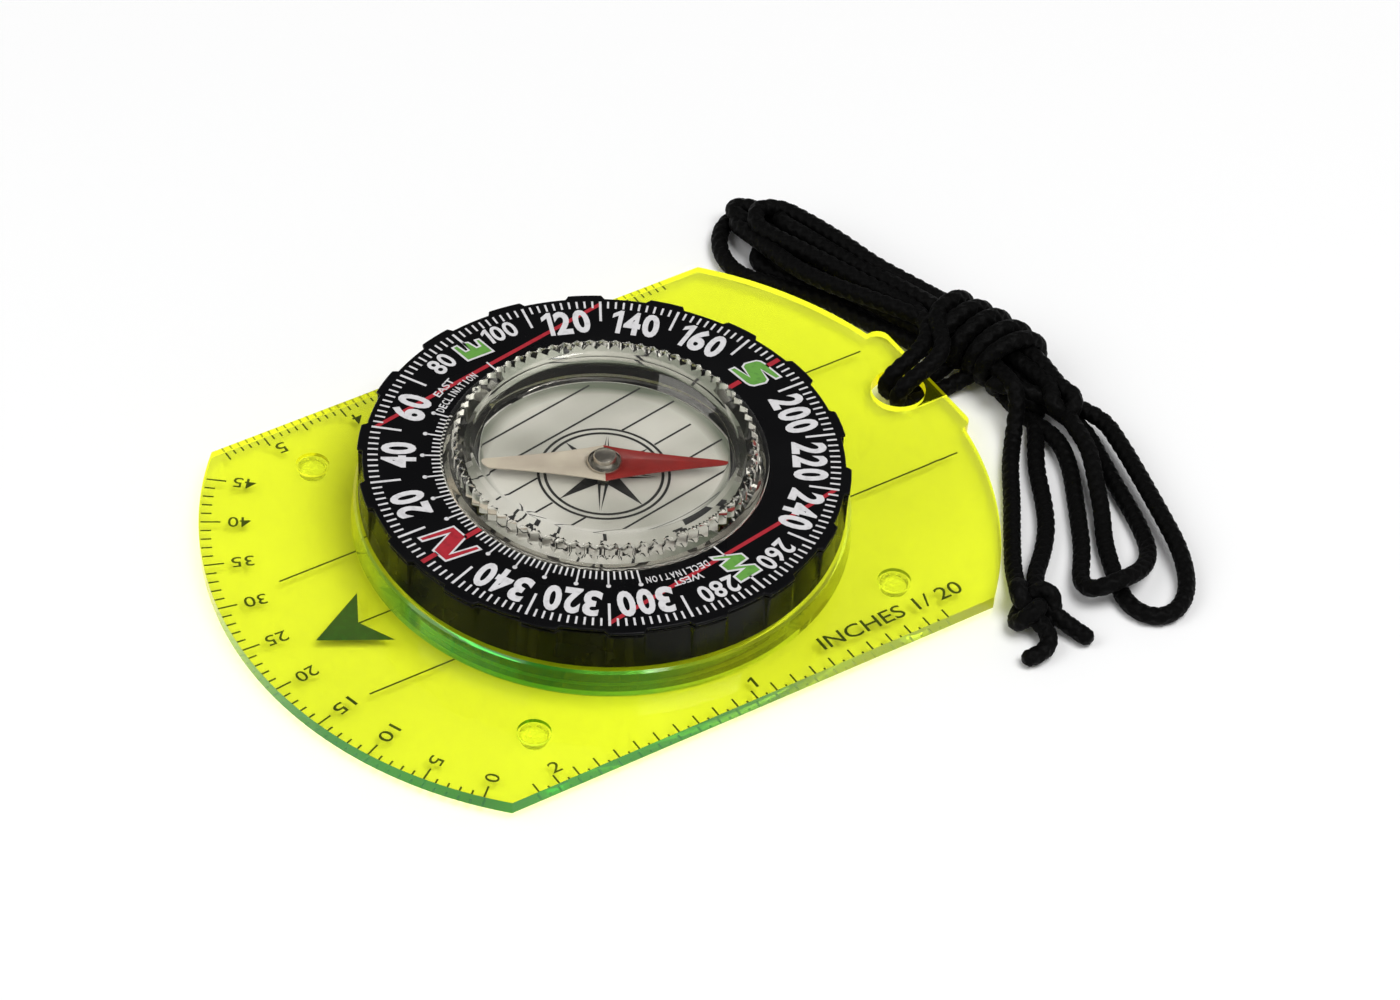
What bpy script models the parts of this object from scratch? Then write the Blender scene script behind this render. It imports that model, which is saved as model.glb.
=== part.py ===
"""Baseplate compass with a lanyard, one object for each real piece, in metres, +Z up.

Origin: on the surface the feet stand on, under the middle of the plate. +Y is the direction of
travel, +X the side with the centimetre scale. The bezel axis is a little off the plate's middle.
Turned profiles are (radius, height) points about the bezel axis, in millimetres.
"""
from math import atan2, cos, degrees, pi, radians, sin, sqrt

import bmesh
import bpy
from mathutils import Vector

MM = 0.001

# Driving dimensions, millimetres and degrees
AXIS_X, AXIS_Y = 0.75, 0.35      # bezel axis, seen from the middle of the plate
PLATE_HALF_WIDTH = 31.75         # 63.5 wide, two and a half inches
PLATE_ARC = 45.2                 # radius of the front and back edges about the bezel axis
PLATE_BOTTOM, PLATE_TOP = 1.2, 2.8
EDGE_BREAK = 0.15
BOSS_TOP = 6.3
BOSS_OUTER, BOSS_BORE = 28.2, 24.6
RECESS_RADIUS, RECESS_TOP = 26.0, 2.4
EAR_X, EAR_HALF_WIDTH, EAR_CORNER = 2.4, 9.5, 1.5
HOLE_X, HOLE_Y, HOLE_RADIUS = 2.2, -41.3, 3.2
RELIEF_TOP = 1.7                 # groove under the ear where the cord passes
FOOT_X, FOOT_Y = 24.2, 23.6      # from the bezel axis
FOOT_RADIUS, FOOT_POCKET, FOOT_TOP, POCKET_TOP = 1.6, 1.9, 1.45, 1.7
GRIP_PADS, PAD_HEIGHT = 18, 0.6
PAD_CENTRE, PAD_HALF, PAD_RAMP = 357.1, 4.8, 0.8    # bearings clockwise from +Y
BEZEL_RADIUS = 27.0
DIAL_BORE = 17.9
DIAL_BEARING = 350.8             # where the dial's north stands, clockwise from +Y
DIAL_TOP = 12.0
TEETH, TOOTH_DEPTH = 72, 0.65
CAPSULE_TOP = 14.7
PLUG_RADIUS_AT, PLUG_HOLE = 12.0, 1.3
NEEDLE_BEARING = 209.4           # where the north end points, clockwise from +Y
NEEDLE_NORTH, NEEDLE_SOUTH = 14.4, 14.7
NEEDLE_BOTTOM, NEEDLE_TOP = 8.65, 8.9
CORD = 2.1                       # lanyard diameter
CORD_SQUEEZED = 0.66             # share of the diameter left under the ear


def clear_scene():
    for thing in list(bpy.data.objects):
        bpy.data.objects.remove(thing, do_unlink=True)


def material(name, colour, roughness, metallic=0.0, alpha=1.0):
    made = bpy.data.materials.new(name)
    made.use_nodes = True
    shader = made.node_tree.nodes["Principled BSDF"]
    shader.inputs["Base Color"].default_value = (*colour, 1.0)
    shader.inputs["Roughness"].default_value = roughness
    shader.inputs["Metallic"].default_value = metallic
    shader.inputs["Alpha"].default_value = alpha
    return made


def pivot(name, bearing=0.0, parent=None):
    """An empty on the bezel axis, turned clockwise by a bearing."""
    empty = bpy.data.objects.new(name, None)
    bpy.context.collection.objects.link(empty)
    if parent:
        empty.parent = parent
    else:
        empty.location = (AXIS_X * MM, AXIS_Y * MM, 0.0)
    empty.rotation_euler = (0.0, 0.0, -radians(bearing))
    return empty


def add(name, mesh, finish, parent=None, sharp=35.0):
    thing = bpy.data.objects.new(name, mesh)
    bpy.context.collection.objects.link(thing)
    mesh.materials.append(finish)
    mesh.shade_smooth()
    mesh.set_sharp_from_angle(angle=radians(sharp))
    thing.parent = parent
    return thing


def to_mesh(name, shape):
    bmesh.ops.recalc_face_normals(shape, faces=shape.faces)
    mesh = bpy.data.meshes.new(name)
    shape.to_mesh(mesh)
    shape.free()
    return mesh


def turned_mesh(name, profile, angles, wave=None):
    """Closed profile of (radius, height[, waved]) turned about Z; wave adds to waved radii."""
    shape = bmesh.new()
    rings = []
    for point in profile:
        radius, height = point[0], point[1]
        waved = len(point) > 2
        if radius == 0.0:
            rings.append([shape.verts.new((0.0, 0.0, height * MM))])
            continue
        ring = []
        for angle in angles:
            reach = (radius + (wave(angle) if waved else 0.0)) * MM
            ring.append(shape.verts.new((reach * sin(angle), reach * cos(angle), height * MM)))
        rings.append(ring)
    count = len(angles)
    for ring, following in zip(rings, rings[1:] + rings[:1]):
        if len(ring) == 1 and len(following) == 1:
            continue
        for here in range(count):
            there = (here + 1) % count
            if len(ring) == 1:
                corners = (ring[0], following[here], following[there])
            elif len(following) == 1:
                corners = (ring[here], following[0], ring[there])
            else:
                corners = (ring[here], following[here], following[there], ring[there])
            shape.faces.new(corners)
    return to_mesh(name, shape)


def even_angles(count):
    return [2.0 * pi * step / count for step in range(count)]


def turned(name, profile, finish, parent, steps=72):
    return add(name, turned_mesh(name, profile, even_angles(steps)), finish, parent)


def extruded_mesh(name, outline, bottom, top):
    shape = bmesh.new()
    lower = [shape.verts.new((x * MM, y * MM, bottom * MM)) for x, y in outline]
    upper = [shape.verts.new((x * MM, y * MM, top * MM)) for x, y in outline]
    shape.faces.new(lower)
    shape.faces.new(upper)
    for here in range(len(outline)):
        there = (here + 1) % len(outline)
        shape.faces.new((lower[here], lower[there], upper[there], upper[here]))
    return to_mesh(name, shape)


def combine(target, tool, operation):
    step = target.modifiers.new(tool.name, "BOOLEAN")
    step.operation = operation
    step.solver = "EXACT"
    step.object = tool
    tool.hide_render = True
    tool.display_type = "WIRE"


def cylinder(name, x, y, radius, bottom, top, finish, steps=32):
    profile = [(0.0, bottom), (radius, bottom), (radius, top), (0.0, top)]
    made = turned(name, profile, finish, None, steps)
    made.location = (x * MM, y * MM, 0.0)
    return made


# ---------------------------------------------------------------- baseplate and feet

def arc(centre_x, centre_y, radius, start, stop, steps):
    """Points of an arc between two bearings in degrees, clockwise from +Y."""
    points = []
    for step in range(steps + 1):
        bearing = radians(start + (stop - start) * step / steps)
        points.append((centre_x + radius * sin(bearing), centre_y + radius * cos(bearing)))
    return points


def side_bearing(x):
    """Bearing, at the front, where the edge arc reaches a given x."""
    return degrees(atan2(x - AXIS_X, sqrt(PLATE_ARC ** 2 - (x - AXIS_X) ** 2)))


def plate_outline():
    left, right = -PLATE_HALF_WIDTH, PLATE_HALF_WIDTH
    ear_left, ear_right = EAR_X - EAR_HALF_WIDTH, EAR_X + EAR_HALF_WIDTH
    ear_edge = AXIS_Y - PLATE_ARC - 0.7
    front = arc(AXIS_X, AXIS_Y, PLATE_ARC, side_bearing(left), side_bearing(right), 36)
    back_right = arc(AXIS_X, AXIS_Y, PLATE_ARC, 180 - side_bearing(right), 180 - side_bearing(ear_right), 16)
    back_left = arc(AXIS_X, AXIS_Y, PLATE_ARC, 180 - side_bearing(ear_left), 180 - side_bearing(left), 16)
    corner_y = ear_edge + EAR_CORNER
    ear = arc(ear_right - EAR_CORNER, corner_y, EAR_CORNER, 90, 180, 5)
    ear += arc(ear_left + EAR_CORNER, corner_y, EAR_CORNER, 180, 270, 5)
    return front + back_right + ear + back_left


def build_baseplate(finish):
    """Plate with the ring that the bezel turns on, its centre opening and the lanyard ear."""
    plate = add("baseplate", extruded_mesh("baseplate", plate_outline(), PLATE_BOTTOM, PLATE_TOP), finish)
    edge = plate.modifiers.new("edge", "BEVEL")
    edge.width = EDGE_BREAK * MM
    edge.segments = 1
    edge.limit_method = "ANGLE"
    edge.angle_limit = radians(60)

    boss_profile = [
        (BOSS_BORE - 1.0, PLATE_BOTTOM + 0.3), (BOSS_OUTER, PLATE_BOTTOM + 0.3), (BOSS_OUTER, PLATE_TOP + 0.4),
        (BOSS_OUTER - 0.2, BOSS_TOP - 0.3), (BOSS_OUTER - 0.5, BOSS_TOP), (BOSS_BORE - 1.0, BOSS_TOP),
    ]
    boss = turned("boss_shape", boss_profile, finish, None, 96)
    bore = cylinder("bore_cutter", AXIS_X, AXIS_Y, BOSS_BORE, -1.0, BOSS_TOP + 1.0, finish, 96)
    recess = cylinder("recess_cutter", AXIS_X, AXIS_Y, RECESS_RADIUS, 0.0, RECESS_TOP, finish, 96)
    boss.location = (AXIS_X * MM, AXIS_Y * MM, 0.0)
    hole = cylinder("hole_cutter", HOLE_X, HOLE_Y, HOLE_RADIUS, 0.0, PLATE_TOP + 1.0, finish)
    groove_outline = [
        (HOLE_X - HOLE_RADIUS, HOLE_Y), (HOLE_X + HOLE_RADIUS, HOLE_Y),
        (HOLE_X + HOLE_RADIUS, HOLE_Y - 8.0), (HOLE_X - HOLE_RADIUS, HOLE_Y - 8.0),
    ]
    groove = add("groove_cutter", extruded_mesh("groove_cutter", groove_outline, 0.0, RELIEF_TOP), finish)
    combine(plate, boss, "UNION")
    for cutter in (bore, recess, hole, groove):
        combine(plate, cutter, "DIFFERENCE")
    for side_name, side in (("left", 1), ("right", -1)):
        for end_name, end in (("front", 1), ("rear", -1)):
            x, y = AXIS_X + side * FOOT_X, AXIS_Y + end * FOOT_Y
            pocket = cylinder(f"pocket_{end_name}_{side_name}", x, y, FOOT_POCKET, 0.0, POCKET_TOP, finish, 20)
            combine(plate, pocket, "DIFFERENCE")
    return plate


def build_feet(finish):
    profile = [(0.0, 0.0), (1.2, 0.0), (1.5, 0.15), (FOOT_RADIUS, 0.5), (FOOT_RADIUS, FOOT_TOP), (0.0, FOOT_TOP)]
    mesh = turned_mesh("foot", profile, even_angles(20))
    for side_name, side in (("left", 1), ("right", -1)):
        for end_name, end in (("front", 1), ("rear", -1)):
            foot = bpy.data.objects.new(f"foot_{end_name}_{side_name}", mesh)
            bpy.context.collection.objects.link(foot)
            foot.location = ((AXIS_X + side * FOOT_X) * MM, (AXIS_Y + end * FOOT_Y) * MM, 0.0)
    mesh.materials.append(finish)
    mesh.shade_smooth()
    mesh.set_sharp_from_angle(angle=radians(50))


# ---------------------------------------------------------------- bezel

def grip_wave(angle):
    """Height of the finger pads above the bezel's round side, at an angle of the dial."""
    pitch = 360.0 / GRIP_PADS
    centre = PAD_CENTRE - DIAL_BEARING
    off = abs((degrees(angle) - centre + pitch / 2) % pitch - pitch / 2)
    if off <= PAD_HALF - PAD_RAMP:
        return PAD_HEIGHT
    if off >= PAD_HALF:
        return 0.0
    return PAD_HEIGHT * (PAD_HALF - off) / PAD_RAMP


def grip_angles():
    """Angles that catch both ends of every pad's ramps, with one or two between."""
    pitch = 360.0 / GRIP_PADS
    centre = PAD_CENTRE - DIAL_BEARING
    inner, outer = PAD_HALF - PAD_RAMP, PAD_HALF
    offsets = (-outer, -inner, 0.0, inner, outer, outer + 1.75, outer + 3.5)
    return [radians(centre + pitch * pad + offset) for pad in range(GRIP_PADS) for offset in offsets]


def build_bezel(turn, smoke, print_black, nylon):
    flange_bottom, flange_top = 10.3, 11.3
    skirt_outer, skirt_inner, skirt_bottom = 24.3, 22.9, 2.4
    wall_inner, wall_bottom = 25.6, 6.55
    profile = [
        (DIAL_BORE, flange_bottom), (DIAL_BORE, flange_top),
        (BEZEL_RADIUS - 0.1, flange_top, "grip"), (BEZEL_RADIUS - 0.2, wall_bottom, "grip"),
        (wall_inner, wall_bottom), (wall_inner, flange_bottom), (skirt_outer, flange_bottom),
        (skirt_outer, skirt_bottom), (skirt_inner, skirt_bottom), (skirt_inner, flange_bottom),
    ]
    add("bezel_ring", turned_mesh("bezel_ring", profile, grip_angles(), grip_wave), smoke, turn)

    scale_bottom = flange_top + 0.3
    profile = [
        (DIAL_BORE, scale_bottom), (DIAL_BORE, DIAL_TOP), (BEZEL_RADIUS - 0.15, DIAL_TOP, "grip"),
        (BEZEL_RADIUS, DIAL_TOP - 0.12, "grip"), (BEZEL_RADIUS, scale_bottom, "grip"),
    ]
    mesh = turned_mesh("dial_scale_ring", profile, grip_angles(), grip_wave)
    add("dial_scale_ring", mesh, print_black, turn, sharp=60)

    profile = [(skirt_inner, 1.45), (skirt_inner, 2.1), (25.7, 2.1), (25.7, 1.45)]
    turned("bezel_retaining_ring", profile, nylon, turn)


def build_friction_ring(finish, pivot_point):
    profile = [(24.8, 6.55), (24.65, 6.85), (24.8, 7.2), (25.15, 7.2), (25.3, 6.85), (25.15, 6.55)]
    turned("friction_ring", profile, finish, pivot_point, 60)


# ---------------------------------------------------------------- capsule

def tooth_wave(angle):
    step = round(angle / (pi / TEETH))
    return -TOOTH_DEPTH if step % 2 else 0.0


def build_capsule(turn, clear, silver, rubber, steel):
    """Clear toothed top bonded into a clear cup, with the dial card and the pivot inside."""
    wall_inner, wall_outer, window_bottom, window_top = 15.8, 17.4, 13.2, 14.2
    profile = [
        (0.0, window_bottom), (0.0, window_top), (13.9, window_top), (14.9, CAPSULE_TOP),
        (16.1, CAPSULE_TOP), (16.85, CAPSULE_TOP - 0.1, "tooth"), (17.1, 12.75, "tooth"),
        (18.35, 12.65), (18.35, 12.3), (wall_outer, 12.3), (wall_outer, 5.5), (wall_inner, 5.5),
        (wall_inner, 12.6), (15.2, window_bottom),
    ]
    mesh = turned_mesh("capsule_top", profile, even_angles(2 * TEETH), tooth_wave)
    add("capsule_top", mesh, clear, turn)

    floor_bottom, floor_top, rim_top = 4.2, 5.2, 10.0
    profile = [
        (0.0, floor_bottom), (18.6, floor_bottom), (18.9, floor_bottom + 0.3), (18.9, rim_top),
        (17.7, rim_top), (17.7, floor_top), (1.7, floor_top), (1.5, 6.4), (0.85, 6.4),
        (0.85, 4.6), (0.0, 4.6),
    ]
    base = turned("capsule_base", profile, clear, turn)
    hole = cylinder("plug_cutter", 0.0, 0.0, PLUG_HOLE, 3.0, 5.4, clear, 20)
    hole.parent = turn
    hole.location = (PLUG_RADIUS_AT * MM, 0.0, 0.0)
    combine(base, hole, "DIFFERENCE")

    profile = [(2.0, 5.5), (2.0, 5.8), (15.5, 5.8), (15.5, 5.5)]
    turned("dial_card", profile, silver, turn)

    profile = [(0.0, 3.5), (1.6, 3.5), (1.6, 3.9), (1.0, 3.9), (1.0, 5.1), (0.0, 5.1)]
    plug = turned("fill_plug", profile, rubber, turn, 16)
    plug.location = (PLUG_RADIUS_AT * MM, 0.0, 0.0)

    profile = [(0.0, 4.9), (0.55, 4.9), (0.55, 8.3), (0.0, 9.1)]
    turned("pivot_pin", profile, steel, turn, 16)


# ---------------------------------------------------------------- needle

def needle_half_width(share):
    """Half the needle's width at a share of its length: a waist, then long slim blades."""
    return 0.35 + 1.05 * (1.0 - share) + 1.55 * (1.0 - share) ** 4


def needle_outline():
    """North end, a sharp point, towards +Y; the south end is blunter."""
    east = []
    for share in (0.0, 0.1, 0.22, 0.35, 0.5, 0.7, 0.88):
        east.append((needle_half_width(share), share * NEEDLE_NORTH))
    tip = [(0.0, NEEDLE_NORTH)]
    south = []
    for share in (0.92, 0.7, 0.5, 0.35, 0.22, 0.1):
        extra = 0.55 * share
        south.append((needle_half_width(share) + extra, -share * NEEDLE_SOUTH))
    tail = [(0.0, -NEEDLE_SOUTH)]
    west = [(-x, y) for x, y in reversed(east)]
    south_west = [(-x, y) for x, y in south]
    return east + tip + west + list(reversed(south_west)) + tail + south


def build_needle(turn, painted, brass, ruby):
    blade = add("needle", extruded_mesh("needle", needle_outline(), NEEDLE_BOTTOM, NEEDLE_TOP), painted, turn)
    hole = cylinder("needle_cutter", 0.0, 0.0, 0.95, 8.0, 9.5, painted, 20)
    hole.parent = turn
    combine(blade, hole, "DIFFERENCE")

    profile = [
        (0.9, 9.15), (2.0, 9.15), (2.05, 9.45), (1.85, 9.85), (1.4, 10.15), (1.3, 11.05),
        (1.2, 11.15), (0.0, 11.15), (0.0, 10.3), (0.9, 10.3),
    ]
    turned("needle_hub", profile, brass, turn, 32)
    turned("needle_jewel", [(0.0, 9.45), (0.6, 9.4), (0.6, 10.0), (0.0, 10.0)], ruby, turn, 16)


# ---------------------------------------------------------------- lanyard

def smooth_route(points, spacing):
    """Points about a spacing apart on a Catmull-Rom curve through the route's own points."""
    ends = [2 * points[0] - points[1]] + points + [2 * points[-1] - points[-2]]
    route = []
    for first, second, third, fourth in zip(ends, ends[1:], ends[2:], ends[3:]):
        steps = max(1, round((third - second).length / spacing))
        for step in range(steps):
            t = step / steps
            route.append(0.5 * (
                2 * second + (third - first) * t
                + (2 * first - 5 * second + 4 * third - fourth) * t ** 2
                + (3 * second - first - 3 * third + fourth) * t ** 3
            ))
    return route + [points[-1]]


def cord_tube(name, points, finish, squeeze=None):
    """A round tube along a route in millimetres; squeeze(point) gives its share of the radius."""
    route = smooth_route([Vector(point) for point in points], 2.2 * CORD)
    data = bpy.data.curves.new(name, "CURVE")
    data.dimensions = "3D"
    data.bevel_depth = CORD / 2 * MM
    data.bevel_resolution = 2
    data.use_fill_caps = True
    line = data.splines.new("POLY")
    line.points.add(len(route) - 1)
    for place, point in zip(line.points, route):
        place.co = (*(point * MM), 1.0)
        place.radius = squeeze(point) if squeeze else 1.0
    data.materials.append(finish)
    tube = bpy.data.objects.new(name, data)
    bpy.context.collection.objects.link(tube)
    return tube


def stadium(x1, y1, x2, y2, radius, steps=8):
    """Outline with round ends about the line from the first point to the second."""
    heading = degrees(atan2(x2 - x1, y2 - y1))
    far_end = arc(x2, y2, radius, heading - 90, heading + 90, steps)
    near_end = arc(x1, y1, radius, heading + 90, heading + 270, steps)
    return far_end + near_end


def soft_block(name, outline, bottom, top, finish):
    block = add(name, extruded_mesh(name, outline, bottom, top), finish)
    edge = block.modifiers.new("edge", "BEVEL")
    edge.width = 1.4 * MM
    edge.segments = 2
    edge.limit_method = "ANGLE"
    edge.angle_limit = radians(60)


def under_ear(point):
    return CORD_SQUEEZED if point.z < 1.0 else 1.0


def build_lanyard(finish):
    """Cord through the ear's hole, folded into a wrapped hank with loops and a knotted end."""
    for name, x in (("lanyard_eye_left", HOLE_X + 1.2), ("lanyard_eye_right", HOLE_X - 1.2)):
        route = [
            (x, -46.5, 5.2), (x, -44.6, 5.1), (x, -42.6, 4.8), (x, -40.9, 4.2), (x, -39.95, 3.0),
            (x, -40.1, 1.7), (x, -41.1, 0.85), (x, -43.4, 0.8), (x, -46.2, 0.8),
        ]
        cord_tube(name, route, finish, under_ear)

    soft_block("lanyard_hank", stadium(31.0, -43.1, 13.5, -49.4, 4.4), 0.1, 6.4, finish)
    soft_block("lanyard_wrap", stadium(4.0, -53.0, -6.2, -54.6, 5.3), 0.1, 7.6, finish)

    cord_tube("lanyard_side_loop", [
        (36.0, -45.6, 1.6), (38.2, -44.3, 1.3), (38.9, -42.2, 1.2), (37.8, -39.9, 1.2), (35.3, -37.9, 1.2),
        (32.2, -37.0, 1.2), (29.3, -37.4, 1.2), (27.0, -38.6, 1.2),
    ], finish)
    cord_tube("lanyard_loop_inner", [
        (-13.0, -53.3, 1.5), (-17.0, -52.2, 1.2), (-22.2, -49.4, 1.1), (-29.1, -45.3, 1.1), (-33.6, -41.8, 1.6),
        (-36.3, -41.4, 2.8), (-37.2, -44.2, 3.7), (-36.2, -48.3, 2.6), (-33.0, -51.8, 1.2), (-28.2, -53.6, 1.1),
        (-22.4, -54.9, 1.1), (-16.4, -56.3, 1.3), (-12.6, -57.0, 1.6),
    ], finish)
    cord_tube("lanyard_loop_outer", [
        (-13.4, -54.6, 3.8), (-17.4, -54.3, 3.5), (-21.7, -52.4, 2.6), (-25.6, -50.6, 1.6), (-29.2, -48.4, 1.1),
        (-33.6, -46.4, 1.1), (-38.3, -44.7, 1.1), (-41.4, -45.4, 1.1), (-42.6, -47.6, 1.1), (-41.4, -50.7, 1.1),
        (-38.6, -53.0, 1.4), (-35.0, -54.4, 2.2), (-30.6, -55.5, 2.5), (-24.6, -57.0, 2.6), (-18.0, -58.4, 2.8),
        (-12.6, -59.2, 3.0),
    ], finish)
    cord_tube("lanyard_end_left", [
        (-9.3, -48.6, 1.3), (-13.5, -46.4, 1.1), (-18.6, -43.0, 1.1), (-24.0, -39.2, 1.1), (-28.2, -36.4, 1.2),
        (-30.5, -35.2, 1.6),
    ], finish)
    cord_tube("lanyard_end_right", [
        (-11.6, -50.6, 1.3), (-15.6, -48.6, 1.1), (-19.9, -46.4, 1.1), (-24.0, -44.0, 1.1), (-27.4, -41.0, 1.1),
        (-29.8, -38.3, 1.4), (-31.2, -37.0, 1.8),
    ], finish)
    build_end_knot(finish)
    cord_tube("lanyard_tail_front", [
        (-38.6, -34.0, 1.8), (-39.9, -33.1, 1.3), (-40.4, -31.6, 1.1), (-40.1, -29.3, 1.1),
    ], finish)
    cord_tube("lanyard_tail_back", [(-37.5, -36.5, 1.8), (-39.1, -37.0, 1.2), (-41.4, -37.7, 1.1)], finish)


def build_end_knot(finish):
    """The overhand knot that joins the cord's two ends, as one rounded lump."""
    across, along, tall, heading = 2.9, 3.6, 2.25, 144.0
    shape = bmesh.new()
    bmesh.ops.create_uvsphere(shape, u_segments=20, v_segments=12, radius=1.0)
    for vert in shape.verts:
        vert.co = Vector((vert.co.x * along, vert.co.y * across, vert.co.z * tall)) * MM
    knot = add("lanyard_end_knot", to_mesh("lanyard_end_knot", shape), finish)
    knot.location = (-34.6 * MM, -34.2 * MM, 2.35 * MM)
    knot.rotation_euler = (0.0, 0.0, radians(heading))


def main():
    clear_scene()
    fluorescent = material("fluorescent_acrylic", (0.80, 0.86, 0.02), 0.12, alpha=0.75)
    silicone = material("silicone", (0.85, 0.88, 0.75), 0.45, alpha=0.6)
    smoke = material("smoke_acrylic", (0.05, 0.05, 0.02), 0.15, alpha=0.9)
    print_black = material("dial_print", (0.012, 0.012, 0.012), 0.25)
    nylon = material("natural_nylon", (0.75, 0.74, 0.68), 0.4)
    rubber = material("seal_rubber", (0.03, 0.03, 0.03), 0.6)
    clear = material("clear_acrylic", (0.93, 0.94, 0.92), 0.05, alpha=0.35)
    silver = material("silver_card", (0.72, 0.72, 0.70), 0.35, 0.6)
    steel = material("pivot_steel", (0.6, 0.6, 0.6), 0.2, 1.0)
    painted = material("needle_paint", (0.60, 0.05, 0.04), 0.4)
    nickel = material("hub_nickel", (0.62, 0.60, 0.55), 0.25, 1.0)
    ruby = material("jewel", (0.5, 0.02, 0.06), 0.05)
    braid = material("braided_nylon", (0.012, 0.012, 0.013), 0.8)

    still = pivot("boss_axis")
    bezel_turn = pivot("bezel_axis", DIAL_BEARING)
    capsule_turn = pivot("capsule_axis", parent=bezel_turn)
    needle_turn = pivot("needle_axis", NEEDLE_BEARING - DIAL_BEARING, capsule_turn)

    build_baseplate(fluorescent)
    build_feet(silicone)
    build_friction_ring(rubber, still)
    build_bezel(bezel_turn, smoke, print_black, nylon)
    build_capsule(capsule_turn, clear, silver, rubber, steel)
    build_needle(needle_turn, painted, nickel, ruby)
    build_lanyard(braid)


main()
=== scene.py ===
"""Looks of the baseplate compass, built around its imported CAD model. Metres, +Z up.

Flat drawings on the dial are made in the dial's own frame: its middle at the origin, its north
along +Y, lengths in millimetres, bearings in degrees clockwise from north.
"""
from math import asin, cos, degrees, pi, radians, sin, sqrt

import bmesh
import bpy
import numpy as np
from mathutils import Matrix, Vector


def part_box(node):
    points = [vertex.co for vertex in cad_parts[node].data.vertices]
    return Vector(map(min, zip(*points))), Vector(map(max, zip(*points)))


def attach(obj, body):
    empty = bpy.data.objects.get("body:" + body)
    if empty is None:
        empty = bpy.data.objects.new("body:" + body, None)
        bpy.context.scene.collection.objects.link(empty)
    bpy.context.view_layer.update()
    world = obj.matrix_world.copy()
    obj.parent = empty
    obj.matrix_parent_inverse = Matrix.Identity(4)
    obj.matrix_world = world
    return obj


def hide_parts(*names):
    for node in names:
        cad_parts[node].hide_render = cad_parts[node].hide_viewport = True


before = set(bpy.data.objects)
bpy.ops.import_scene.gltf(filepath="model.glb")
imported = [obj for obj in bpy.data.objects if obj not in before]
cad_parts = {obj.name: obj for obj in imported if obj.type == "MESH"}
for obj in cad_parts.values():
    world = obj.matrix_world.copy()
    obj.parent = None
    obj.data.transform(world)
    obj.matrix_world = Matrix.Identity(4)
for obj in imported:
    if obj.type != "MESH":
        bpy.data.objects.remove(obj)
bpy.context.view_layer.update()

MM = 0.001


def middle(node):
    low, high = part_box(node)
    return (low + high) / 2


def bottom(node):
    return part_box(node)[0].z / MM


def top(node):
    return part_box(node)[1].z / MM


AXIS = middle("capsule_base") / MM  # the bezel's axis; only x and y are used
DIAL_BEARING = 350.8  # where the dial's north stands, clockwise from +Y
NEEDLE_BEARING = 209.4
PLATE_BOTTOM = bottom("baseplate")
PLATE_TOP = 2.8
DIAL_TOP = top("dial_scale_ring")
CARD_TOP = top("dial_card")
PRINT = 0.03  # thickness of printed ink, with its lift
RELIEF_TOP = 1.7  # groove under the ear where the cord passes


def in_scene(name, data):
    made = bpy.data.objects.new(name, data)
    bpy.context.scene.collection.objects.link(made)
    return made


def spun(angle):
    """A turn about Z, anticlockwise from above, in degrees."""
    return Matrix.Rotation(radians(angle), 4, "Z")


def stands_for(thing, body, slot, *nodes):
    """Which body a piece moves with, and the CAD nodes it replaces. slot, the record's slot for its look, is
    not used.
    """
    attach(thing, body)
    if nodes:
        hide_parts(*nodes)


# ---- camera

def make_camera():
    azimuth, elevation, roll = radians(234.3), radians(43.43), radians(4.27)
    target = Vector((-1.55, -11.45, 1.95)) * MM
    distance = 565.6 * MM
    back = Vector((sin(azimuth) * cos(elevation), -cos(azimuth) * cos(elevation), sin(elevation)))
    right = (-back).cross(Vector((0, 0, 1))).normalized()
    up = right.cross(-back)
    across = cos(roll) * right + sin(roll) * up
    upwards = cos(roll) * up - sin(roll) * right
    data = bpy.data.cameras.new("camera")
    data.lens = 128.1
    data.sensor_width = 36.0
    data.clip_start = 0.01
    camera = in_scene("camera", data)
    turned = Matrix((across, upwards, back)).transposed().to_4x4()
    camera.matrix_world = Matrix.Translation(target + back * distance) @ turned
    bpy.context.scene.camera = camera


# ---- material helpers

PLATE_DYE = (0.59, 0.63, 0.05)
ACRYLIC_IOR = 1.49


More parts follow.
